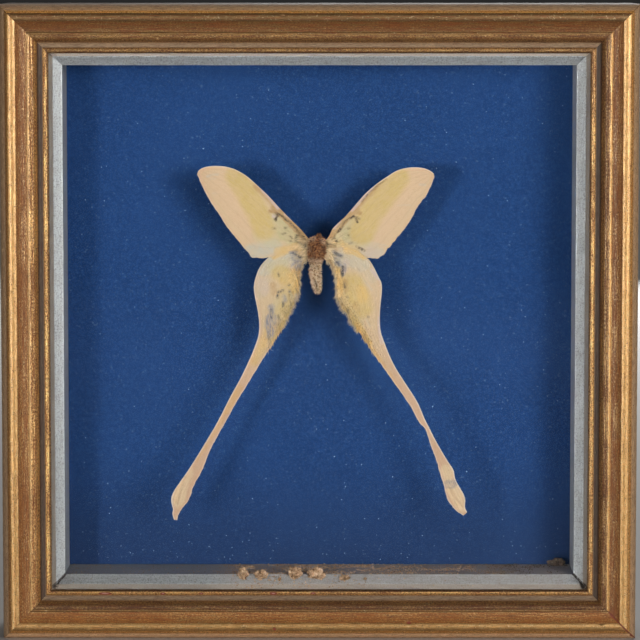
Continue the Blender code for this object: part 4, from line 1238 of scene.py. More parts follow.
wings = {
    "middle": (-1.1, 156.5), "planeInFront": 20.4,       # of the card's face
    "thickness": 0.2, "camber": 0.02, "splits": 12,
    "veins": 0.10, "veinWidth": 0.22, "margin": 0.14, "seed": 31,
    # where the veins run, as shares of the width from the front edge
    "foreVeins": (0.08, 0.2, 0.34, 0.5, 0.66, 0.82), "hindVeins": (0.13, 0.3, 0.48, 0.66, 0.84),
    # unevenness: height, length, how near the margin it fades, and seed
    "waves": [(0.16, 7.0, 2.0, 5), (0.05, 1.1, 0.8, 6)],
    "costa": (0.24, 0.7),                # rise and width of the thick front edge
    "slateDip": 0.05,                    # where scales are rubbed off
    "tailLength": 75.0, "hairSizes": {"smallest": 0.7, "largest": 1.5, "stray": 0.28},
    "forewing_left": {"step": 0.5, "columns": 76, "tailStart": -35, "tailRise": 0.0},
    "forewing_right": {"step": -0.5, "columns": 76, "tailStart": -35, "tailRise": 0.0},
    "hindwing_left": {"step": -0.5, "columns": 52, "tailStart": -38, "tailRise": 6.5},
    "hindwing_right": {"step": 0.5, "columns": 52, "tailStart": -20, "tailRise": 6.5},
}

# Nicks and frayed places in the margins: x, z, reach and depth
wingNicks = {
    "forewing_left": [(-27.2, -2.6, 0.8, 0.3), (-24.0, -4.2, 0.9, 0.35), (-47.0, 27.6, 0.7, 0.3)],
    "forewing_right": [(32.3, 4.2, 0.7, 0.45), (28.4, -0.8, 0.8, 0.5), (25.6, -3.9, 0.9, 0.5),
                       (42.4, 19.0, 0.6, 0.35), (30.3, 1.6, 0.5, 0.3)],
    "hindwing_left": [(-5.8, -13.0, 0.9, 0.3), (-6.3, -17.6, 1.0, 0.4), (-8.3, -21.6, 0.9, 0.4),
                      (-21.0, -7.6, 0.8, 0.25)],
    "hindwing_right": [(8.4, -22.6, 0.9, 0.45), (12.0, -26.6, 0.8, 0.4), (6.9, -17.6, 0.9, 0.35),
                       (17.6, -35.2, 0.7, 0.3)],
}

# Long creases of the twisted tail lobes: points, half width and depth
wingFolds = {
    "hindwing_left": [([(-53.6, -92.9), (-55.6, -98.5), (-56.6, -103.0)], 1.1, 0.7)],
    "hindwing_right": [([(53.2, -97.2), (54.8, -100.4), (56.0, -103.6)], 1.1, 0.7),
                       ([(56.2, -101.4), (58.4, -104.6)], 0.8, 0.4)],
}


def smoothRibs(ribs, splits):
    # A smooth curve through the ribs, with extra ribs between them.
    table = np.array(ribs)
    before = np.vstack([table[:1], table[:-2]])
    start, end = table[:-1], table[1:]
    after = np.vstack([table[2:], table[-1:]])
    t = (np.arange(splits) / splits)[None, :, None]
    a, b, c, d = (rows[:, None, :] for rows in (before, start, end, after))
    curve = 0.5 * (2 * b + (c - a) * t + (2 * a - 5 * b + 4 * c - d) * t ** 2
                   + (3 * b - a - 3 * c + d) * t ** 3)
    return np.vstack([curve.reshape(-1, table.shape[1]), table[-1:]])


def strokeShare(x, z, points, halfWidth, soft):
    # 1 along a line of points and 0 away from it, with a soft edge.
    nearest = np.full(x.shape, 1e6)
    for (startX, startZ), (endX, endZ) in zip(points, points[1:]):
        runX, runZ = endX - startX, endZ - startZ
        share = ((x - startX) * runX + (z - startZ) * runZ) / (runX ** 2 + runZ ** 2 + 1e-9)
        share = np.clip(share, 0, 1)
        gap = np.hypot(x - startX - share * runX, z - startZ - share * runZ)
        nearest = np.minimum(nearest, gap)
    return 1 - ease((nearest - halfWidth) / soft)


def paintShare(x, z, strokes, seed):
    # Strokes wander a little, so that no edge is a clean line.
    wander = min(0.9, 0.25 + 0.1 * len(strokes)) * 0.5
    shiftX = wander * latticeNoise(x / 1.6, z / 1.6, 0 * x, seed)
    shiftZ = wander * latticeNoise(x / 1.6, z / 1.6, 0 * x + 7, seed)
    total = np.zeros(x.shape)
    for halfWidth, soft, strength, points in strokes:
        loose = min(1.0, soft / 1.2)
        share = strokeShare(x + shiftX * loose, z + shiftZ * loose, points, halfWidth, soft)
        total = np.maximum(total, strength * share)
    return total


wingTones = ("yellow", "green", "orange", "grey", "slate", "tan", "mark", "lilac", "cream")


def wingSurface(name):
    # Front and back sheets of one wing, and what colours them.
    shape = wings[name]
    rows = smoothRibs(wingRibs[name], wings["splits"])
    share = np.linspace(0, 1, shape["columns"])
    share = (1 - np.cos(pi * share)) / 2 * 0.45 + share * 0.55
    front, rear = rows[:, None, 0:2], rows[:, None, 2:4]
    run = rear - front
    width = np.linalg.norm(run, axis=2)
    across = run / np.maximum(width, 1e-6)[:, :, None]
    flat = front + run * share[None, :, None]
    x, z = flat[:, :, 0], flat[:, :, 1]

    fromFront = share[None, :] * width
    fromRear = (1 - share)[None, :] * width
    edge = np.minimum(fromFront, fromRear)
    fray = wings["margin"] * latticeNoise(x / 0.9, z / 0.9, 0 * x, wings["seed"])
    fray = fray * ease(1 - fromRear / 1.5)
    for nickX, nickZ, reach, depth in wingNicks[name]:
        gap = np.hypot(x - nickX, z - nickZ) / reach
        notch = depth * np.exp(-gap ** 2)
        fray = fray - notch * ease(1 - fromRear / 2.0)
        fray = fray + notch * ease(1 - fromFront / 2.0) * (fromFront < fromRear)
    x = x + across[:, :, 0] * fray
    z = z + across[:, :, 1] * fray

    level = z.mean(axis=1, keepdims=True)
    rise = shape["tailRise"] * ease((shape["tailStart"] - level) / wings["tailLength"])
    bow = wings["camber"] * width * 4 * share * (1 - share)
    hind = name.startswith("hind")
    lines = wings["hindVeins"] if hind else wings["foreVeins"]
    along = np.linspace(0, 1, len(rows))[:, None]
    veins = np.zeros(x.shape)
    for number, line in enumerate(lines):
        bend = line + 0.03 * np.sin(3.0 * along + number)
        gap = np.abs(share[None, :] - bend) * width / wings["veinWidth"]
        veins = np.maximum(veins, np.exp(-gap ** 2))
    fade = ease(width / 5.0) * ease(along * 12) * ease(edge / 1.0)
    relief = wings["veins"] * veins * fade
    for height, length, fadeOut, seed in wings["waves"]:
        wave = height * latticeNoise(x / length, z / length, 0 * x, seed)
        relief = relief + wave * ease(edge / fadeOut)
    if not hind:
        costa, costaWidth = wings["costa"]
        relief = relief + costa * np.exp(-(fromFront / costaWidth) ** 2) * ease(along * 5)
    for points, halfWidth, depth in wingFolds.get(name, []):
        relief = relief - depth * strokeShare(x, z, points, 0.1, halfWidth)
    for halfWidth, soft, strength, points in wingMarks[name].get("slate", []):
        relief = relief - wings["slateDip"] * strokeShare(x, z, points, halfWidth, soft)

    forward = rise + bow + relief
    thick = wings["thickness"] * (0.35 + 0.65 * ease(edge / 0.8))
    middleX, middleZ = wings["middle"]
    plane = cardFace / mm - wings["planeInFront"] - shape["step"]
    sheets = [np.stack([middleX + x, plane - forward + side * thick, middleZ + z], axis=-1)
              for side in (-0.5, 0.5)]
    reach = pathLengths((rows[:, 0:2] + rows[:, 2:4]) / 2)[:, None] + 0 * x
    if hind:
        frontRim, rearRim = ease((along - 0.14) / 0.05), 0.6 * ease((along - 0.40) / 0.08)
        furry = ease((0.50 - along) / 0.12) * (0.10 + 0.90 * ease(1.1 - fromRear / 7))
        furry = np.maximum(furry, ease(2 - reach / 5))
        tall = 0.8 + 0.7 * ease(1.2 - fromRear / 4) * ease(reach / 6) + 0.8 * ease(1.4 - reach / 5)
    else:
        frontRim, rearRim = ease((along - 0.30) / 0.30), 0.5 * ease((along - 0.50) / 0.15)
        furry = ease(2 - reach / 5.5)
        tall = 0.8 + 1.0 * ease(1.4 - reach / 6)
    # A pale margin along the front and rear edges: partly the scales' own pale edge, partly a
    # painted highlight where the edges catch the light
    rim = np.maximum(frontRim * ease(1 - fromFront / 0.7), rearRim * ease(1 - fromRear / 0.7))
    # luck on the scales rises with the fur: painted light against the shade of the hairs
    values = {"rim": rim, "leading": fromFront, "veins": veins * fade, "reach": reach,
              "furry": furry * ease(edge / 0.35), "tallFur": tall, "luck": 0.78 + 0.27 * furry}
    for tone in wingTones:
        values[tone] = paintShare(x, z, wingMarks[name].get(tone, []), 40 + len(tone))
    values["outer"] = x if name.endswith("right") else -x
    return sheets, values


def closedSheet(name, sheets, values):
    front, back = sheets
    rows, columns = front.shape[:2]
    ring = np.concatenate([front, back[:, ::-1]], axis=1) * mm
    vertices = ring.reshape(-1, 3)
    faces = gridFaces(rows, 2 * columns, closed=True)
    last = (rows - 1) * 2 * columns
    for column in range(columns - 1):
        far = 2 * columns - 1 - column
        faces.append((column, far, far - 1, column + 1))
        faces.append((last + column, last + column + 1, last + far - 1, last + far))
    piece = meshPiece(name, vertices, outwards(vertices, faces))
    for label, field in values.items():
        storeValues(piece, label, np.concatenate([field, field[:, ::-1]], axis=1))
    return piece


wingPaint = {
    "fore": {"base": (0.60, 0.43, 0.275), "outer": (0.62, 0.425, 0.27), "mark": (0.09, 0.06, 0.04),
             "streaks": 0.25, "hairs": 6.0},
    "hind": {"base": (0.58, 0.42, 0.26), "outer": (0.60, 0.41, 0.27), "mark": (0.055, 0.05, 0.058),
             "streaks": 0.6, "hairs": 6.0},
    "tones": {
        "grey": (0.50, 0.445, 0.36), "green": (0.50, 0.42, 0.235), "yellow": (0.56, 0.395, 0.165),
        "orange": (0.64, 0.41, 0.16), "cream": (0.70, 0.55, 0.35), "tan": (0.42, 0.25, 0.115),
        "lilac": (0.56, 0.43, 0.40), "slate": (0.25, 0.235, 0.27)},
    # rim: pale margin colour, partly the scales' own and partly a painted highlight
    "rim": (0.66, 0.58, 0.49),
}


def wingMaterial(kind):
    material, tree, shader = newMaterial(
        kind + "wing scales", Specular_IOR_Level=0.18, Sheen_Weight=0.12, Sheen_Roughness=0.5)
    place = objectPlace(tree)
    paint = wingPaint[kind]
    dust = noiseField(tree, place, 2600.0, 2.0)
    cloud = noiseField(tree, place, 260.0, 4.0)
    streaks = grainLines(tree, readValue(tree, "leading"), readValue(tree, "reach"), 1.7, 5.0)
    colour = blendColour(tree, remap(tree, readValue(tree, "outer"), 0.0, 1.0, 16.0, 30.0, True),
                         paint["base"], paint["outer"])
    breakUp = product(tree, remap(tree, cloud, 0.72, 1.2, 0.3, 0.7),
                      remap(tree, streaks, 0.75, 1.2, 0.35, 0.65))
    for tone in ("grey", "green", "yellow", "orange", "cream", "tan", "lilac"):
        share = product(tree, readValue(tree, tone), breakUp, True)
        colour = blendColour(tree, share, colour, wingPaint["tones"][tone])
    ragged = remap(tree, streaks, 0.35, 1.1, 0.40, 0.58, True)
    slate = product(tree, readValue(tree, "slate"), ragged, True)
    colour = blendColour(tree, slate, colour, wingPaint["tones"]["slate"])
    streak = remap(tree, streaks, 0.0, paint["streaks"], 0.50, 0.70, True)
    colour = tint(tree, colour, (0.86, 0.82, 0.78), streak)
    tail = remap(tree, readValue(tree, "reach"), 0.0, 0.8, 44.0, 66.0, True)
    colour = tint(tree, colour, (0.90, 0.80, 0.80), tail)
    veins = product(tree, readValue(tree, "veins"), 0.16)
    colour = blendColour(tree, veins, colour, (0.40, 0.28, 0.16))
    # Pale margin, partly the scales' own colour and partly a painted highlight on the edges
    margin = product(tree, readValue(tree, "rim"), 0.75)
    colour = blendColour(tree, margin, colour, wingPaint["rim"])
    grainy = speckleMask(tree, place, 1500.0, 0.38, 0.56)
    marks = product(tree, readValue(tree, "mark"), remap(tree, grainy, 0.5, 1.4))
    marks = product(tree, marks, remap(tree, streaks, 0.7, 1.3, 0.38, 0.6), True)
    colour = blendColour(tree, marks, colour, paint["mark"])
    colour = tint(tree, colour, (0.80, 0.77, 0.72), remap(tree, dust, 0.0, 0.5, 0.5, 0.8, True))
    # Each hair takes a tone of its own, and the scales are painted lighter where the hairs grow
    # thick, against the shade the hairs cast
    colour = tint(tree, colour, remap(tree, readValue(tree, "luck"), 0.80, 1.55, 0.5, 1.5))
    tree.links.new(colour, shader.inputs["Base Color"])
    tree.links.new(remap(tree, dust, 0.62, 0.86, 0.3, 0.7), shader.inputs["Roughness"])
    bumpFrom(tree, plus(tree, dust, streaks), 0.45, 0.00012, shader)
    return material


def hairPatch(name, front, values):
    # Hairs lie along the wing, most of them on the hindwing's inner side and at the root.
    outward, inward = unit(np.gradient(front, axis=0)), unit(np.gradient(front, axis=1))
    patch = meshPiece(name + " patch", front.reshape(-1, 3) * mm, gridFaces(*front.shape[:2]))
    for label, field in values.items():
        storeValues(patch, label, field * (0.75 if label == "mark" else 1.0))
    storeValues(patch, "bush", values["furry"])
    storeValues(patch, "tall", values["tallFur"])
    storeWays(patch, outward + 0.45 * inward + np.array([0, -0.24, 0]))
    return patch


def buildWing(name):
    sheets, values = wingSurface(name)
    piece = closedSheet("patterned_" + name, sheets, values)
    kind = name[:4]
    piece.data.materials.append(wingScales[kind])
    fringeWing(name, piece, sheets[0])
    patch = hairPatch(name, sheets[0], values)
    hairs = grow(patch, name + " hair", scaleHair, wingScales[kind], wingPaint[kind]["hairs"],
                 **wings["hairSizes"], seed=fringes["seed"] + 7)
    attach(piece, [hairs])
    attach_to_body(piece, "root")
    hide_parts(name)


wingScales = {kind: wingMaterial(kind) for kind in ("fore", "hind")}
for name in wingRibs:
    buildWing(name)
print("wings built")


# The body: thorax and abdomen under fur, with the dry legs folded behind

body = {
    # height, middle x, half width, half depth and distance behind the wing plane
    "rings": [
        (5.4, 0.9, 0.3, 0.35, 0.0), (4.9, 0.9, 0.6, 0.8, 0.0), (4.3, 0.7, 0.8, 1.3, 0.0),
        (3.7, 0.1, 2.1, 2.2, 0.0), (2.9, 0.0, 2.6, 2.9, 0.1), (0.4, 0.0, 2.75, 3.4, 0.3),
        (-2.0, 0.0, 2.7, 3.4, 0.4), (-3.6, -0.1, 2.3, 2.9, 0.6), (-5.0, -0.4, 1.8, 2.3, 0.8),
        (-7.2, -0.5, 1.8, 2.2, 1.2), (-9.6, -0.6, 2.1, 2.2, 1.4), (-12.6, -0.3, 1.95, 2.1, 1.6),
        (-15.6, 0.1, 1.5, 1.7, 1.7), (-17.6, 0.3, 1.0, 1.0, 1.7), (-18.4, 0.3, 0.4, 0.4, 1.7)],
    "splits": 6, "segments": 44, "grooves": 1.9, "grooveDepth": 0.12, "lumps": 0.09, "seed": 83,
    "hairs": {"density": 21.0, "smallest": 0.7, "largest": 1.35, "stray": 0.55},
    "legs": [
        [(1.0, 2.4, 1.6), (2.7, 5.0, 3.0), (1.8, 6.4, 0.6), (1.1, 6.9, -1.4)],
        [(1.2, 2.8, -0.6), (3.1, 5.4, 0.2), (2.2, 7.0, -2.4), (1.3, 7.4, -4.6)],
        [(1.1, 2.6, -2.8), (2.9, 5.2, -3.4), (2.1, 6.6, -6.4), (1.2, 6.8, -8.8)]],
    "legRadii": (0.36, 0.3, 0.2, 0.12),
    # strokes of each tone on the fur, in millimetres from the middle of the thorax
    "marks": {
        "cream": [(0.3, 0.5, 0.8, [(-2.4, 3.4), (-0.8, 3.6)]),
            (0.3, 0.5, 0.7, [(1.7, 3.0), (2.2, 2.0)]),
            (0.4, 0.6, 0.5, [(-2.7, 0.6), (-2.6, -0.6)]),
            (0.6, 0.7, 0.9, [(-1.6, -4.8), (1.6, -4.7)]),
            (0.6, 0.9, 0.8, [(-2.7, -8.4), (-2.5, -11.6)]),
            (0.5, 0.8, 0.6, [(1.7, -8.0), (1.9, -12.0)]),
            (1.0, 1.4, 0.35, [(-0.6, -9.0), (0.0, -14.0)]),
            (0.5, 0.5, 1.0, [(-0.9, -17.2), (0.2, -18.5), (1.6, -17.4)])],
        "dark": [(0.5, 0.6, 0.6, [(0.4, 4.6), (1.2, 4.4)]),
            (0.4, 0.8, 0.9, [(-2.4, 2.0), (-2.5, -0.2)]),
            (0.5, 0.8, 1.0, [(2.5, 0.6), (2.4, -0.8)]),
            (0.3, 0.6, 0.7, [(-1.0, 3.0), (-1.1, -2.4)]),
            (0.3, 0.6, 0.7, [(1.1, 2.6), (1.0, -2.8)]),
            (0.4, 0.8, 0.8, [(-1.6, -3.4), (1.6, -3.4)]),
            (0.4, 0.7, 0.4, [(-2.0, -6.0), (-1.6, -7.6)]),
            (0.3, 0.6, 0.3, [(0.0, -5.6), (0.2, -8.2)]),
            (0.3, 0.5, 0.55, [(-0.6, -13.4), (0.2, -16.2)]),
            (0.3, 0.6, 0.3, [(1.2, -10.0), (1.0, -12.4)])],
    },
}


def bodyCore():
    rings = smoothRibs(body["rings"], body["splits"])
    height, middle, halfWidth, halfDepth, behind = (rings[:, i:i + 1] for i in range(5))
    turn = (2 * pi * np.arange(body["segments"]) / body["segments"])[None, :]
    groove = 1 - body["grooveDepth"] * ease((-6 - height) / 1.5) * (
        np.abs(np.sin(pi * height / body["grooves"])) < 0.25)
    lumps = 1 + body["lumps"] * latticeNoise(
        np.cos(turn) * 2 + 0 * height, np.sin(turn) * 2 + 0 * height, height * 0.8 + 0 * turn,
        body["seed"])
    x = middle + halfWidth * groove * lumps * np.cos(turn)
    back = behind + halfDepth * groove * lumps * np.sin(turn)
    z = height + 0 * turn
    middleX, middleZ = wings["middle"]
    plane = cardFace / mm - wings["planeInFront"]
    vertices = np.stack([middleX + x, plane + back, middleZ + z], axis=-1)
    flat = vertices.reshape(-1, 3) * mm
    piece = meshPiece("core", flat, outwards(flat, tubeFaces(*x.shape)))
    out = unit(np.stack([np.cos(turn) / halfWidth, np.sin(turn) / halfDepth,
                         0 * turn + 0 * height], axis=-1))
    head = ease((height - 2.5) / 2.0) + 0 * turn
    abdomen = ease((-5.0 - height) / 2.0) + 0 * turn
    ways = out * (0.9 - 0.45 * abdomen)[:, :, None]
    ways[:, :, 2] += 0.9 * head - 0.75 * (1 - head)
    storeWays(piece, ways)
    frontSide = ease(0.6 - np.sin(turn)) + 0 * height
    storeValues(piece, "bush", 0.35 + 0.65 * frontSide)
    storeValues(piece, "tall", (1.6 - 0.5 * abdomen - 0.9 * head) * (0.6 + 0.4 * frontSide))
    # The core seen between the tufts is painted at the lightest tone, against the shade that falls
    # between the tufts
    storeValues(piece, "luck", np.full(x.shape, 0.9))
    for tone, strokes in body["marks"].items():
        storeValues(piece, tone, paintShare(x, z, strokes, 90 + len(tone)))
    storeValues(piece, "rear", abdomen)
    return piece


def tube(name, points, radii, sides=9, splits=5):
    # A round shape along points, each with its radius, closed at both ends.
    path = smoothRibs([(*point, radius) for point, radius in zip(points, radii)], splits)
    rings = []
    for index, row in enumerate(path):
        ahead = path[min(index + 1, len(path) - 1)][:3] - path[max(index - 1, 0)][:3]
        ahead = Vector(ahead).normalized()
        side = ahead.orthogonal().normalized()
        if rings:
            side = (lastSide - ahead * lastSide.dot(ahead)).normalized()
        lastSide, up = side, ahead.cross(side)
        for corner in range(sides):
            turn = 2 * pi * corner / sides
            spot = Vector(row[:3]) + (side * cos(turn) + up * sin(turn)) * row[3]
            rings.append(tuple(spot * mm))
    vertices = np.array(rings)
    return meshPiece(name, vertices, outwards(vertices, tubeFaces(len(path), sides)))


def furMaterial():
    # Each tuft has a tone of its own, from dark red-brown to cream.
    material, tree, shader = newMaterial("moth fur", Roughness=0.8, Specular_IOR_Level=0.2,
                                         Sheen_Weight=0.12)
    tuft = noiseField(tree, objectPlace(tree), 1300.0, 3.0)
    mood = plus(tree, remap(tree, tuft, -0.55, 0.65, 0.36, 0.64),
                remap(tree, readValue(tree, "luck"), 0.2, 0.8, 0.5, 1.5))
    thorax = ramp(tree, mood, [(0.15, (0.07, 0.016, 0.005)), (0.45, (0.29, 0.080, 0.018)),
                               (0.75, (0.52, 0.185, 0.050)), (0.95, (0.74, 0.38, 0.17))])
    abdomen = ramp(tree, mood, [(0.10, (0.27, 0.12, 0.055)), (0.34, (0.62, 0.35, 0.165)),
                                (0.58, (0.98, 0.68, 0.39)), (0.85, (1.0, 0.87, 0.66))])
    colour = blendColour(tree, readValue(tree, "rear"), thorax.outputs["Color"],
                         abdomen.outputs["Color"])
    cream = remap(tree, mood, 0.3, 1.0, 0.35, 0.6)
    cream = product(tree, readValue(tree, "cream"), cream, True)
    colour = blendColour(tree, cream, colour, (0.84, 0.61, 0.43))
    dark = product(tree, readValue(tree, "dark"), remap(tree, mood, 1.0, 0.4, 0.4, 0.8))
    colour = blendColour(tree, dark, colour, (0.06, 0.02, 0.009))
    tree.links.new(colour, shader.inputs["Base Color"])
    return material


def buildBody():
    fur = furMaterial()
    core = bodyCore()
    core.data.materials.append(fur)
    furry = grow(core, "furred_body", furTuft, fur, **body["hairs"], seed=body["seed"], keep=True)
    shell = hairMaterial("dry leg", (0.13, 0.06, 0.028), (0.2, 0.1, 0.05))
    middleX, middleZ = wings["middle"]
    plane = cardFace / mm - wings["planeInFront"]
    legs = []
    for route in body["legs"]:
        for side in (-1, 1):
            points = [(middleX + side * x, plane + back, middleZ + z) for x, back, z in route]
            leg = tube("leg", points, body["legRadii"])
            leg.data.materials.append(shell)
            legs.append(leg)
    attach(furry, legs)
    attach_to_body(furry, "root")
    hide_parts("moth_body")


buildBody()
print("body and legs built")


# The pin

def steelMaterial():
    material, tree, shader = newMaterial("old steel", Metallic=1.0)
    rust = speckleMask(tree, objectPlace(tree), 900.0, 0.55, 0.7)
    colour = blendColour(tree, rust, (0.42, 0.40, 0.37), (0.20, 0.11, 0.06))
    tree.links.new(colour, shader.inputs["Base Color"])
    tree.links.new(remap(tree, rust, 0.34, 0.75), shader.inputs["Roughness"])
    return material


oldSteel = steelMaterial()
pinLow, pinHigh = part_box("pin")
pinX, pinZ = (pinLow.x + pinHigh.x) / 2 / mm, (pinLow.z + pinHigh.z) / 2 / mm
pinRadii = (0.2, 0.26, 0.26, 0.26, 0.2, 0.02)          # from its cut end to its point
pinPoints = [(pinX, pinLow.y / mm + y, pinZ) for y in (0.0, 0.4, 3.0)]
pinPoints += [(pinX, pinHigh.y / mm - y, pinZ) for y in (3.0, 1.2, 0.0)]
pin = tube("insect_pin", pinPoints, pinRadii, 12)
pin.data.materials.append(oldSteel)
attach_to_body(pin, "root")
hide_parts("pin")


# Frass crumbs on the bottom slip, with the grains and dust around them

frassPlaces = {
    # middle x, height over the slip's edge, half width, height and depth, then
    # distance from the front, in millimetres, named by the node each stands for
    "crumb_1": (-30.8, 0.3, 2.3, 2.6, 2.0, 13.0), "crumb_2": (-23.4, 0.1, 2.9, 2.2, 2.2, 13.2),
    "crumb_3": (-16.1, -1.7, 0.9, 0.9, 0.9, 12.6), "crumb_4": (-9.6, 0.6, 3.5, 2.9, 2.6, 13.4),
    "crumb_5": (-1.5, 0.3, 4.2, 2.5, 2.4, 13.2), "crumb_6": (10.1, -1.1, 2.8, 1.4, 1.8, 12.4),
    "crumb_7": (18.5, -1.6, 0.8, 0.8, 0.8, 12.6), "crumb_8": (97.6, 0.5, 4.4, 2.7, 1.6, 36.2),
}
heaps = {
    "core": 0.56, "bulges": ((0.52, 2.3), (0.34, 5.0)),
    "grains": {"density": 2.5, "smallest": 0.45, "largest": 0.92, "stray": 0.35},
    "flakes": {"density": 5.0, "smallest": 0.12, "largest": 0.28, "stray": 0.7},
    # the clump in the back corner gets a painted shade tone
    "tone": 0.92, "cornerShadeTone": 0.53,
}
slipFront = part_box("slip_bottom")[0].y / mm
sightLow = centreZ / mm - slipSizes["sightOpening"] / 2
faceLow = centreZ / mm - slipSizes["faceOpening"] / 2


def slipTop(back):
    # Height of the bottom slip's slope, then of the box's floor behind it.
    rise, depth = slipSizes["fold"]
    start = slipFront + slipSizes["lip"]
    stations = (start, start + depth, slipFront + slipSizes["slope"])
    return np.interp(back, stations, (faceLow, faceLow + rise, sightLow))


def frassMaterial():
    material, tree, shader = newMaterial("dry frass", Roughness=0.95, Specular_IOR_Level=0.1)
    place = objectPlace(tree)
    colour = ramp(tree, noiseField(tree, place, 620.0, 4.0), [
        (0.30, (0.15, 0.075, 0.04)), (0.42, (0.42, 0.25, 0.145)), (0.54, (0.58, 0.375, 0.235)),
        (0.70, (0.72, 0.50, 0.36))]).outputs["Color"]
    # Each grain has its own tone; the heap's surface between the grains is painted darker as shade
    # in the crevices
    colour = tint(tree, colour, remap(tree, readValue(tree, "luck"), 0.6, 1.15, 0.5, 1.5))
    # A lower tone darkens and greys the frass: painted shade on the clump in the back corner, and
    # darker loose grains towards the right end
    tone = readValue(tree, "tone")
    colour = tint(tree, colour, tone)
    greyed = remap(tree, tone, 0.75, 0.0, 0.4, 0.9)
    colour = blendColour(tree, greyed, colour, (0.085, 0.075, 0.08))
    tree.links.new(colour, shader.inputs["Base Color"])
    bumpFrom(tree, noiseField(tree, place, 4000.0, 2.0), 0.6, 0.0001, shader)
    return material


def buildFrass(name, finish):
    x, height, halfWidth, halfHeight, halfDepth, depth = frassPlaces[name]
    middle = Vector((x, frontY / mm + depth, sightLow + height))
    (coarse, coarseScale), (fine, fineScale) = heaps["bulges"]
    ways = []

    def moved(spot):
        way = spot.normalized()
        ways.append(tuple(way * 0.7 + Vector((0, -0.15, 0.8))))
        bulge = heaps["core"] + coarse * noise.noise(way * coarseScale + Vector((x, 0, 0)))
        bulge += fine * noise.noise(way * fineScale + Vector((0, x, 0)))
        peak = 1.15 - 0.5 * abs(way.x) if way.z > 0 else 1.0
        spot = Vector((way.x * halfWidth, way.y * halfDepth, way.z * halfHeight * peak))
        spot = middle + spot * bulge
        spot.z = max(spot.z, float(slipTop(spot.y)) + 0.02)
        return spot * mm

    heap = ballPiece(name, 4, moved)
    points = [vertex.co / mm for vertex in heap.data.vertices]
    above = [point.z - float(slipTop(point.y)) > 0.35 for point in points]
    storeWays(heap, ways)
    storeValues(heap, "bush", np.array(above, dtype=float))
    # The corner clump takes the painted shade tone, and the heap's own surface is painted dark as
    # shade between its grains
    tone = heaps["cornerShadeTone"] if name == "crumb_8" else heaps["tone"]
    for label, value in (("tall", min(1.0, halfHeight / 2.2)), ("luck", 0.5), ("tone", tone)):
        storeValues(heap, label, np.full(len(points), value))
    seed = int(name[-1])
    flakes = addObject(name + " flakes", heap.data.copy())
    flakes = grow(flakes, name + " flakes", flakeSprig, finish, **heaps["flakes"], seed=seed + 20)
    clump = grow(heap, "frass_" + name[-1], grainSprig, finish, **heaps["grains"], seed=seed,
                 keep=True)
    attach(clump, [flakes])
    clump.data.shade_smooth()
    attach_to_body(clump, "root")
    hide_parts(name)


looseGrains = {
    # stations along and across the strip that the grains lie on
    "columns": 420, "rows": 40,
    # share on the slope, on the floor, more from the middle to the right, more again
    # against the card on the right, and near a heap on the slope and on the floor
    "slope": 0.04, "floor": 0.10, "right": 0.55, "card": 0.5, "nearSlope": 0.3, "nearFloor": 0.5,
    "sizes": {"density": 1.9, "smallest": 0.07, "largest": 0.32, "stray": 0.6, "seed": 5},
}


def buildGrains(finish):
    # Loose grains along the slope and on the floor of the box, most of them near the
    # heaps and from the middle to the right.
    columns, rows = looseGrains["columns"], looseGrains["rows"]
    half = slipSizes["sightOpening"] / 2
    x = np.linspace(-half + 1, half - 1, columns)[None, :] + np.zeros((rows, 1))
    back = np.linspace(slipFront + 0.6, cardFace / mm - 0.3, rows)[:, None] + 0 * x
    level = slipTop(back) + 0.03
    near = np.zeros(x.shape)
    for place in list(frassPlaces.values())[:7]:
        reach = place[2] + 1.6
        near = near + np.exp(-((x - place[0]) / reach) ** 2)
    slope = back < slipFront + slipSizes["slope"]
    film = looseGrains["floor"]
    film = film + looseGrains["right"] * ease((x + 46) / 20) * ease((100 - x) / 10)
    film = film + looseGrains["card"] * ease((x - 50) / 40) * ease((back - cardFace / mm + 9) / 8)
    patches = np.clip(0.55 + 0.9 * latticeNoise(x / 6, back / 4, 0 * x, 17), 0, 2)
    bush = np.where(slope, looseGrains["nearSlope"] * near + looseGrains["slope"],
                    film + looseGrains["nearFloor"] * near) * patches
    vertices = np.stack([x, back, level], axis=-1).reshape(-1, 3) * mm
    strip = meshPiece("strip", vertices, gridFaces(rows, columns))
    storeWays(strip, np.tile((0.0, -0.3, 1.0), (x.size, 1)))
    storeValues(strip, "bush", bush)
    storeValues(strip, "tall", 1 + 0.4 * (film > 0.4))
    storeValues(strip, "tone", 0.85 - 0.35 * ease((x - 60) / 25))
    grains = grow(strip, "frass_grains", flakeSprig, finish, **looseGrains["sizes"])
    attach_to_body(grains, "root")


cardDust = {
    "steps": 30,                         # of the sheet that the dust lies on
    # share everywhere, what is added at the foot, the height where that starts, and
    # how far down it becomes whole
    "share": (0.6, 6, 42, 16),
    "sizes": {"density": 0.013, "smallest": 0.07, "largest": 0.22, "stray": 0.8, "seed": 12},
}

# Pale specks on the card: x from the middle, height, radius, in millimetres
cardSpecks = [
    (-47.2, 195.1, 0.38), (60.2, 62.8, 0.38), (6.1, 69.0, 0.35), (46.2, 89.6, 0.38),
    (90.5, 205.3, 0.3), (17.2, 65.7, 0.28), (10.6, 56.6, 0.28), (-85.7, 47.8, 0.34),
    (29.9, 60.7, 0.3), (51.6, 201.6, 0.28), (98.6, 212.6, 0.26), (18.4, 43.3, 0.26),
    (24.2, 43.3, 0.26), (-27.5, 51.6, 0.28), (68.7, 176.0, 0.26), (79.2, 32.1, 0.26),
    (59.1, 130.2, 0.26), (9.0, 51.2, 0.26), (-86.2, 45.4, 0.26), (-31.3, 195.9, 0.26),
    (-29.8, 129.0, 0.26), (-95.2, 174.3, 0.26)]


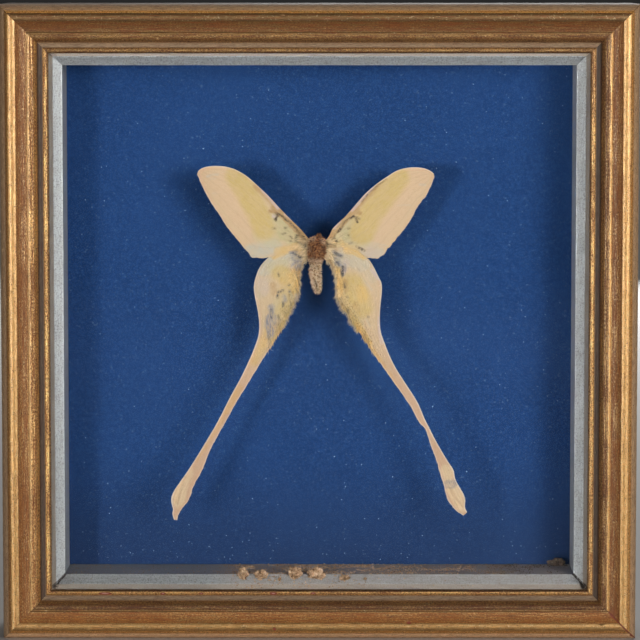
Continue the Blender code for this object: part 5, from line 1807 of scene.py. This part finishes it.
def buildSpecks():
    material, tree, shader = newMaterial("pale dust", Base_Color=(0.42, 0.52, 0.66, 1),
                                         Roughness=0.95)
    half = slipSizes["sightOpening"] / 2 - 2
    steps = np.linspace(-half, half, cardDust["steps"])
    x, z = np.meshgrid(steps, steps + centreZ / mm)
    sheet = np.stack([x, np.full(x.shape, cardFace / mm - 0.05), z], axis=-1)
    sheet = meshPiece("sheet", sheet.reshape(-1, 3) * mm, gridFaces(*x.shape))
    storeWays(sheet, np.tile((0.0, -1.0, 0.0), (x.size, 1)))
    share, atFoot, start, fadeIn = cardDust["share"]
    storeValues(sheet, "bush", share + atFoot * ease((start - z) / fadeIn))
    storeValues(sheet, "tall", np.ones(x.size))
    dust = grow(sheet, "card_dust", flakeSprig, material, **cardDust["sizes"])
    flakes = []
    for x, z, radius in cardSpecks:
        flake = addObject("flake", flakeSprig.data.copy())
        flake.data.transform(Matrix.Translation((x * mm, cardFace - 0.25 * mm, z * mm))
                             @ Matrix.Rotation(x, 4, "Y") @ Matrix.Scale(radius, 4))
        flake.data.materials.append(material)
        flakes.append(flake)
    attach(dust, flakes)
    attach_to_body(dust, "root")


dryFrass = frassMaterial()
for name in frassPlaces:
    buildFrass(name, dryFrass)
buildGrains(dryFrass)
buildSpecks()
print("frass and dust scattered")


# The back: hardboard, brads and the sawtooth hanger with its nails

def hardboardMaterial():
    material, tree, shader = newMaterial("hardboard back", Roughness=0.7)
    place = objectPlace(tree)
    cloud = noiseField(tree, place, 60.0, 6.0)
    fibre = noiseField(tree, place, 1500.0, 3.0)
    colour = blendColour(tree, cloud, (0.14, 0.072, 0.034), (0.25, 0.14, 0.07))
    colour = blendColour(tree, remap(tree, fibre, 0.0, 0.6, 0.5, 0.75), colour,
                         (0.09, 0.045, 0.02))
    tree.links.new(colour, shader.inputs["Base Color"])
    # The woven screen that the board was pressed on
    split = addNode(tree, "ShaderNodeSeparateXYZ", {"Vector": place})
    waves = [arithmetic(tree, "SINE", product(tree, split.outputs[axis], 3200.0))
             for axis in ("X", "Z")]
    bumpFrom(tree, plus(tree, product(tree, *waves), fibre), 0.5, 0.0002, shader)
    return material


fixings = {
    # stations from the point: share of half the length, what is added to it, radius
    "brad": [(-1, 0.0, 0.05), (-1, 1.2, 0.38), (0, 0.0, 0.42), (1, -0.9, 0.42),
             (1, -0.55, 0.44), (1, -0.5, 0.5), (1, -0.05, 0.48), (1, 0.0, 0.3)],
    # stations from the point: 0 the point or 1 the head, what is added to it, radius
    "nail": [(0, 0.0, 0.05), (0, 1.4, 0.55), (1, -0.62, 0.58), (1, -0.56, 0.7),
             (1, -0.54, 1.5), (1, -0.3, 1.58), (1, -0.1, 1.2), (1, 0.0, 0.3)],
}


def buildFixings():
    for number in range(1, 9):
        low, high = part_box("brad_" + str(number))
        middle = (low + high) / 2 / mm
        size = (high - low) / mm
        across = Vector((1, 0, 0)) if size.x > size.z else Vector((0, 0, 1))
        inward = across if across.dot(Vector((0, 0, centreZ / mm)) - middle) > 0 else -across
        reach = max(size.x, size.z) / 2
        points = [middle + inward * (share * reach + more)
                  for share, more, radius in fixings["brad"]]
        radii = [station[2] for station in fixings["brad"]]
        brad = tube("brad_wire_" + str(number), points, radii, 12, 3)
        finishFixing(brad, "brad_" + str(number))
    for number in (1, 2):
        low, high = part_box("hanger_nail_" + str(number))
        x, z = (low.x + high.x) / 2 / mm, (low.z + high.z) / 2 / mm
        ends = (low.y / mm, high.y / mm)
        points = [(x, ends[end] + more, z) for end, more, radius in fixings["nail"]]
        radii = [station[2] for station in fixings["nail"]]
        nail = tube("headed_nail_" + str(number), points, radii, 20, 4)
        finishFixing(nail, "hanger_nail_" + str(number))


def finishFixing(piece, node):
    piece.data.materials.append(oldSteel)
    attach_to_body(piece, "root")
    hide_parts(node)


wear("backboard", hardboardMaterial())
wear("hanger", oldSteel)
buildFixings()
print("back fittings built")


for sprig in (fineHair, scaleHair, furTuft, grainSprig, flakeSprig):
    discard(sprig)
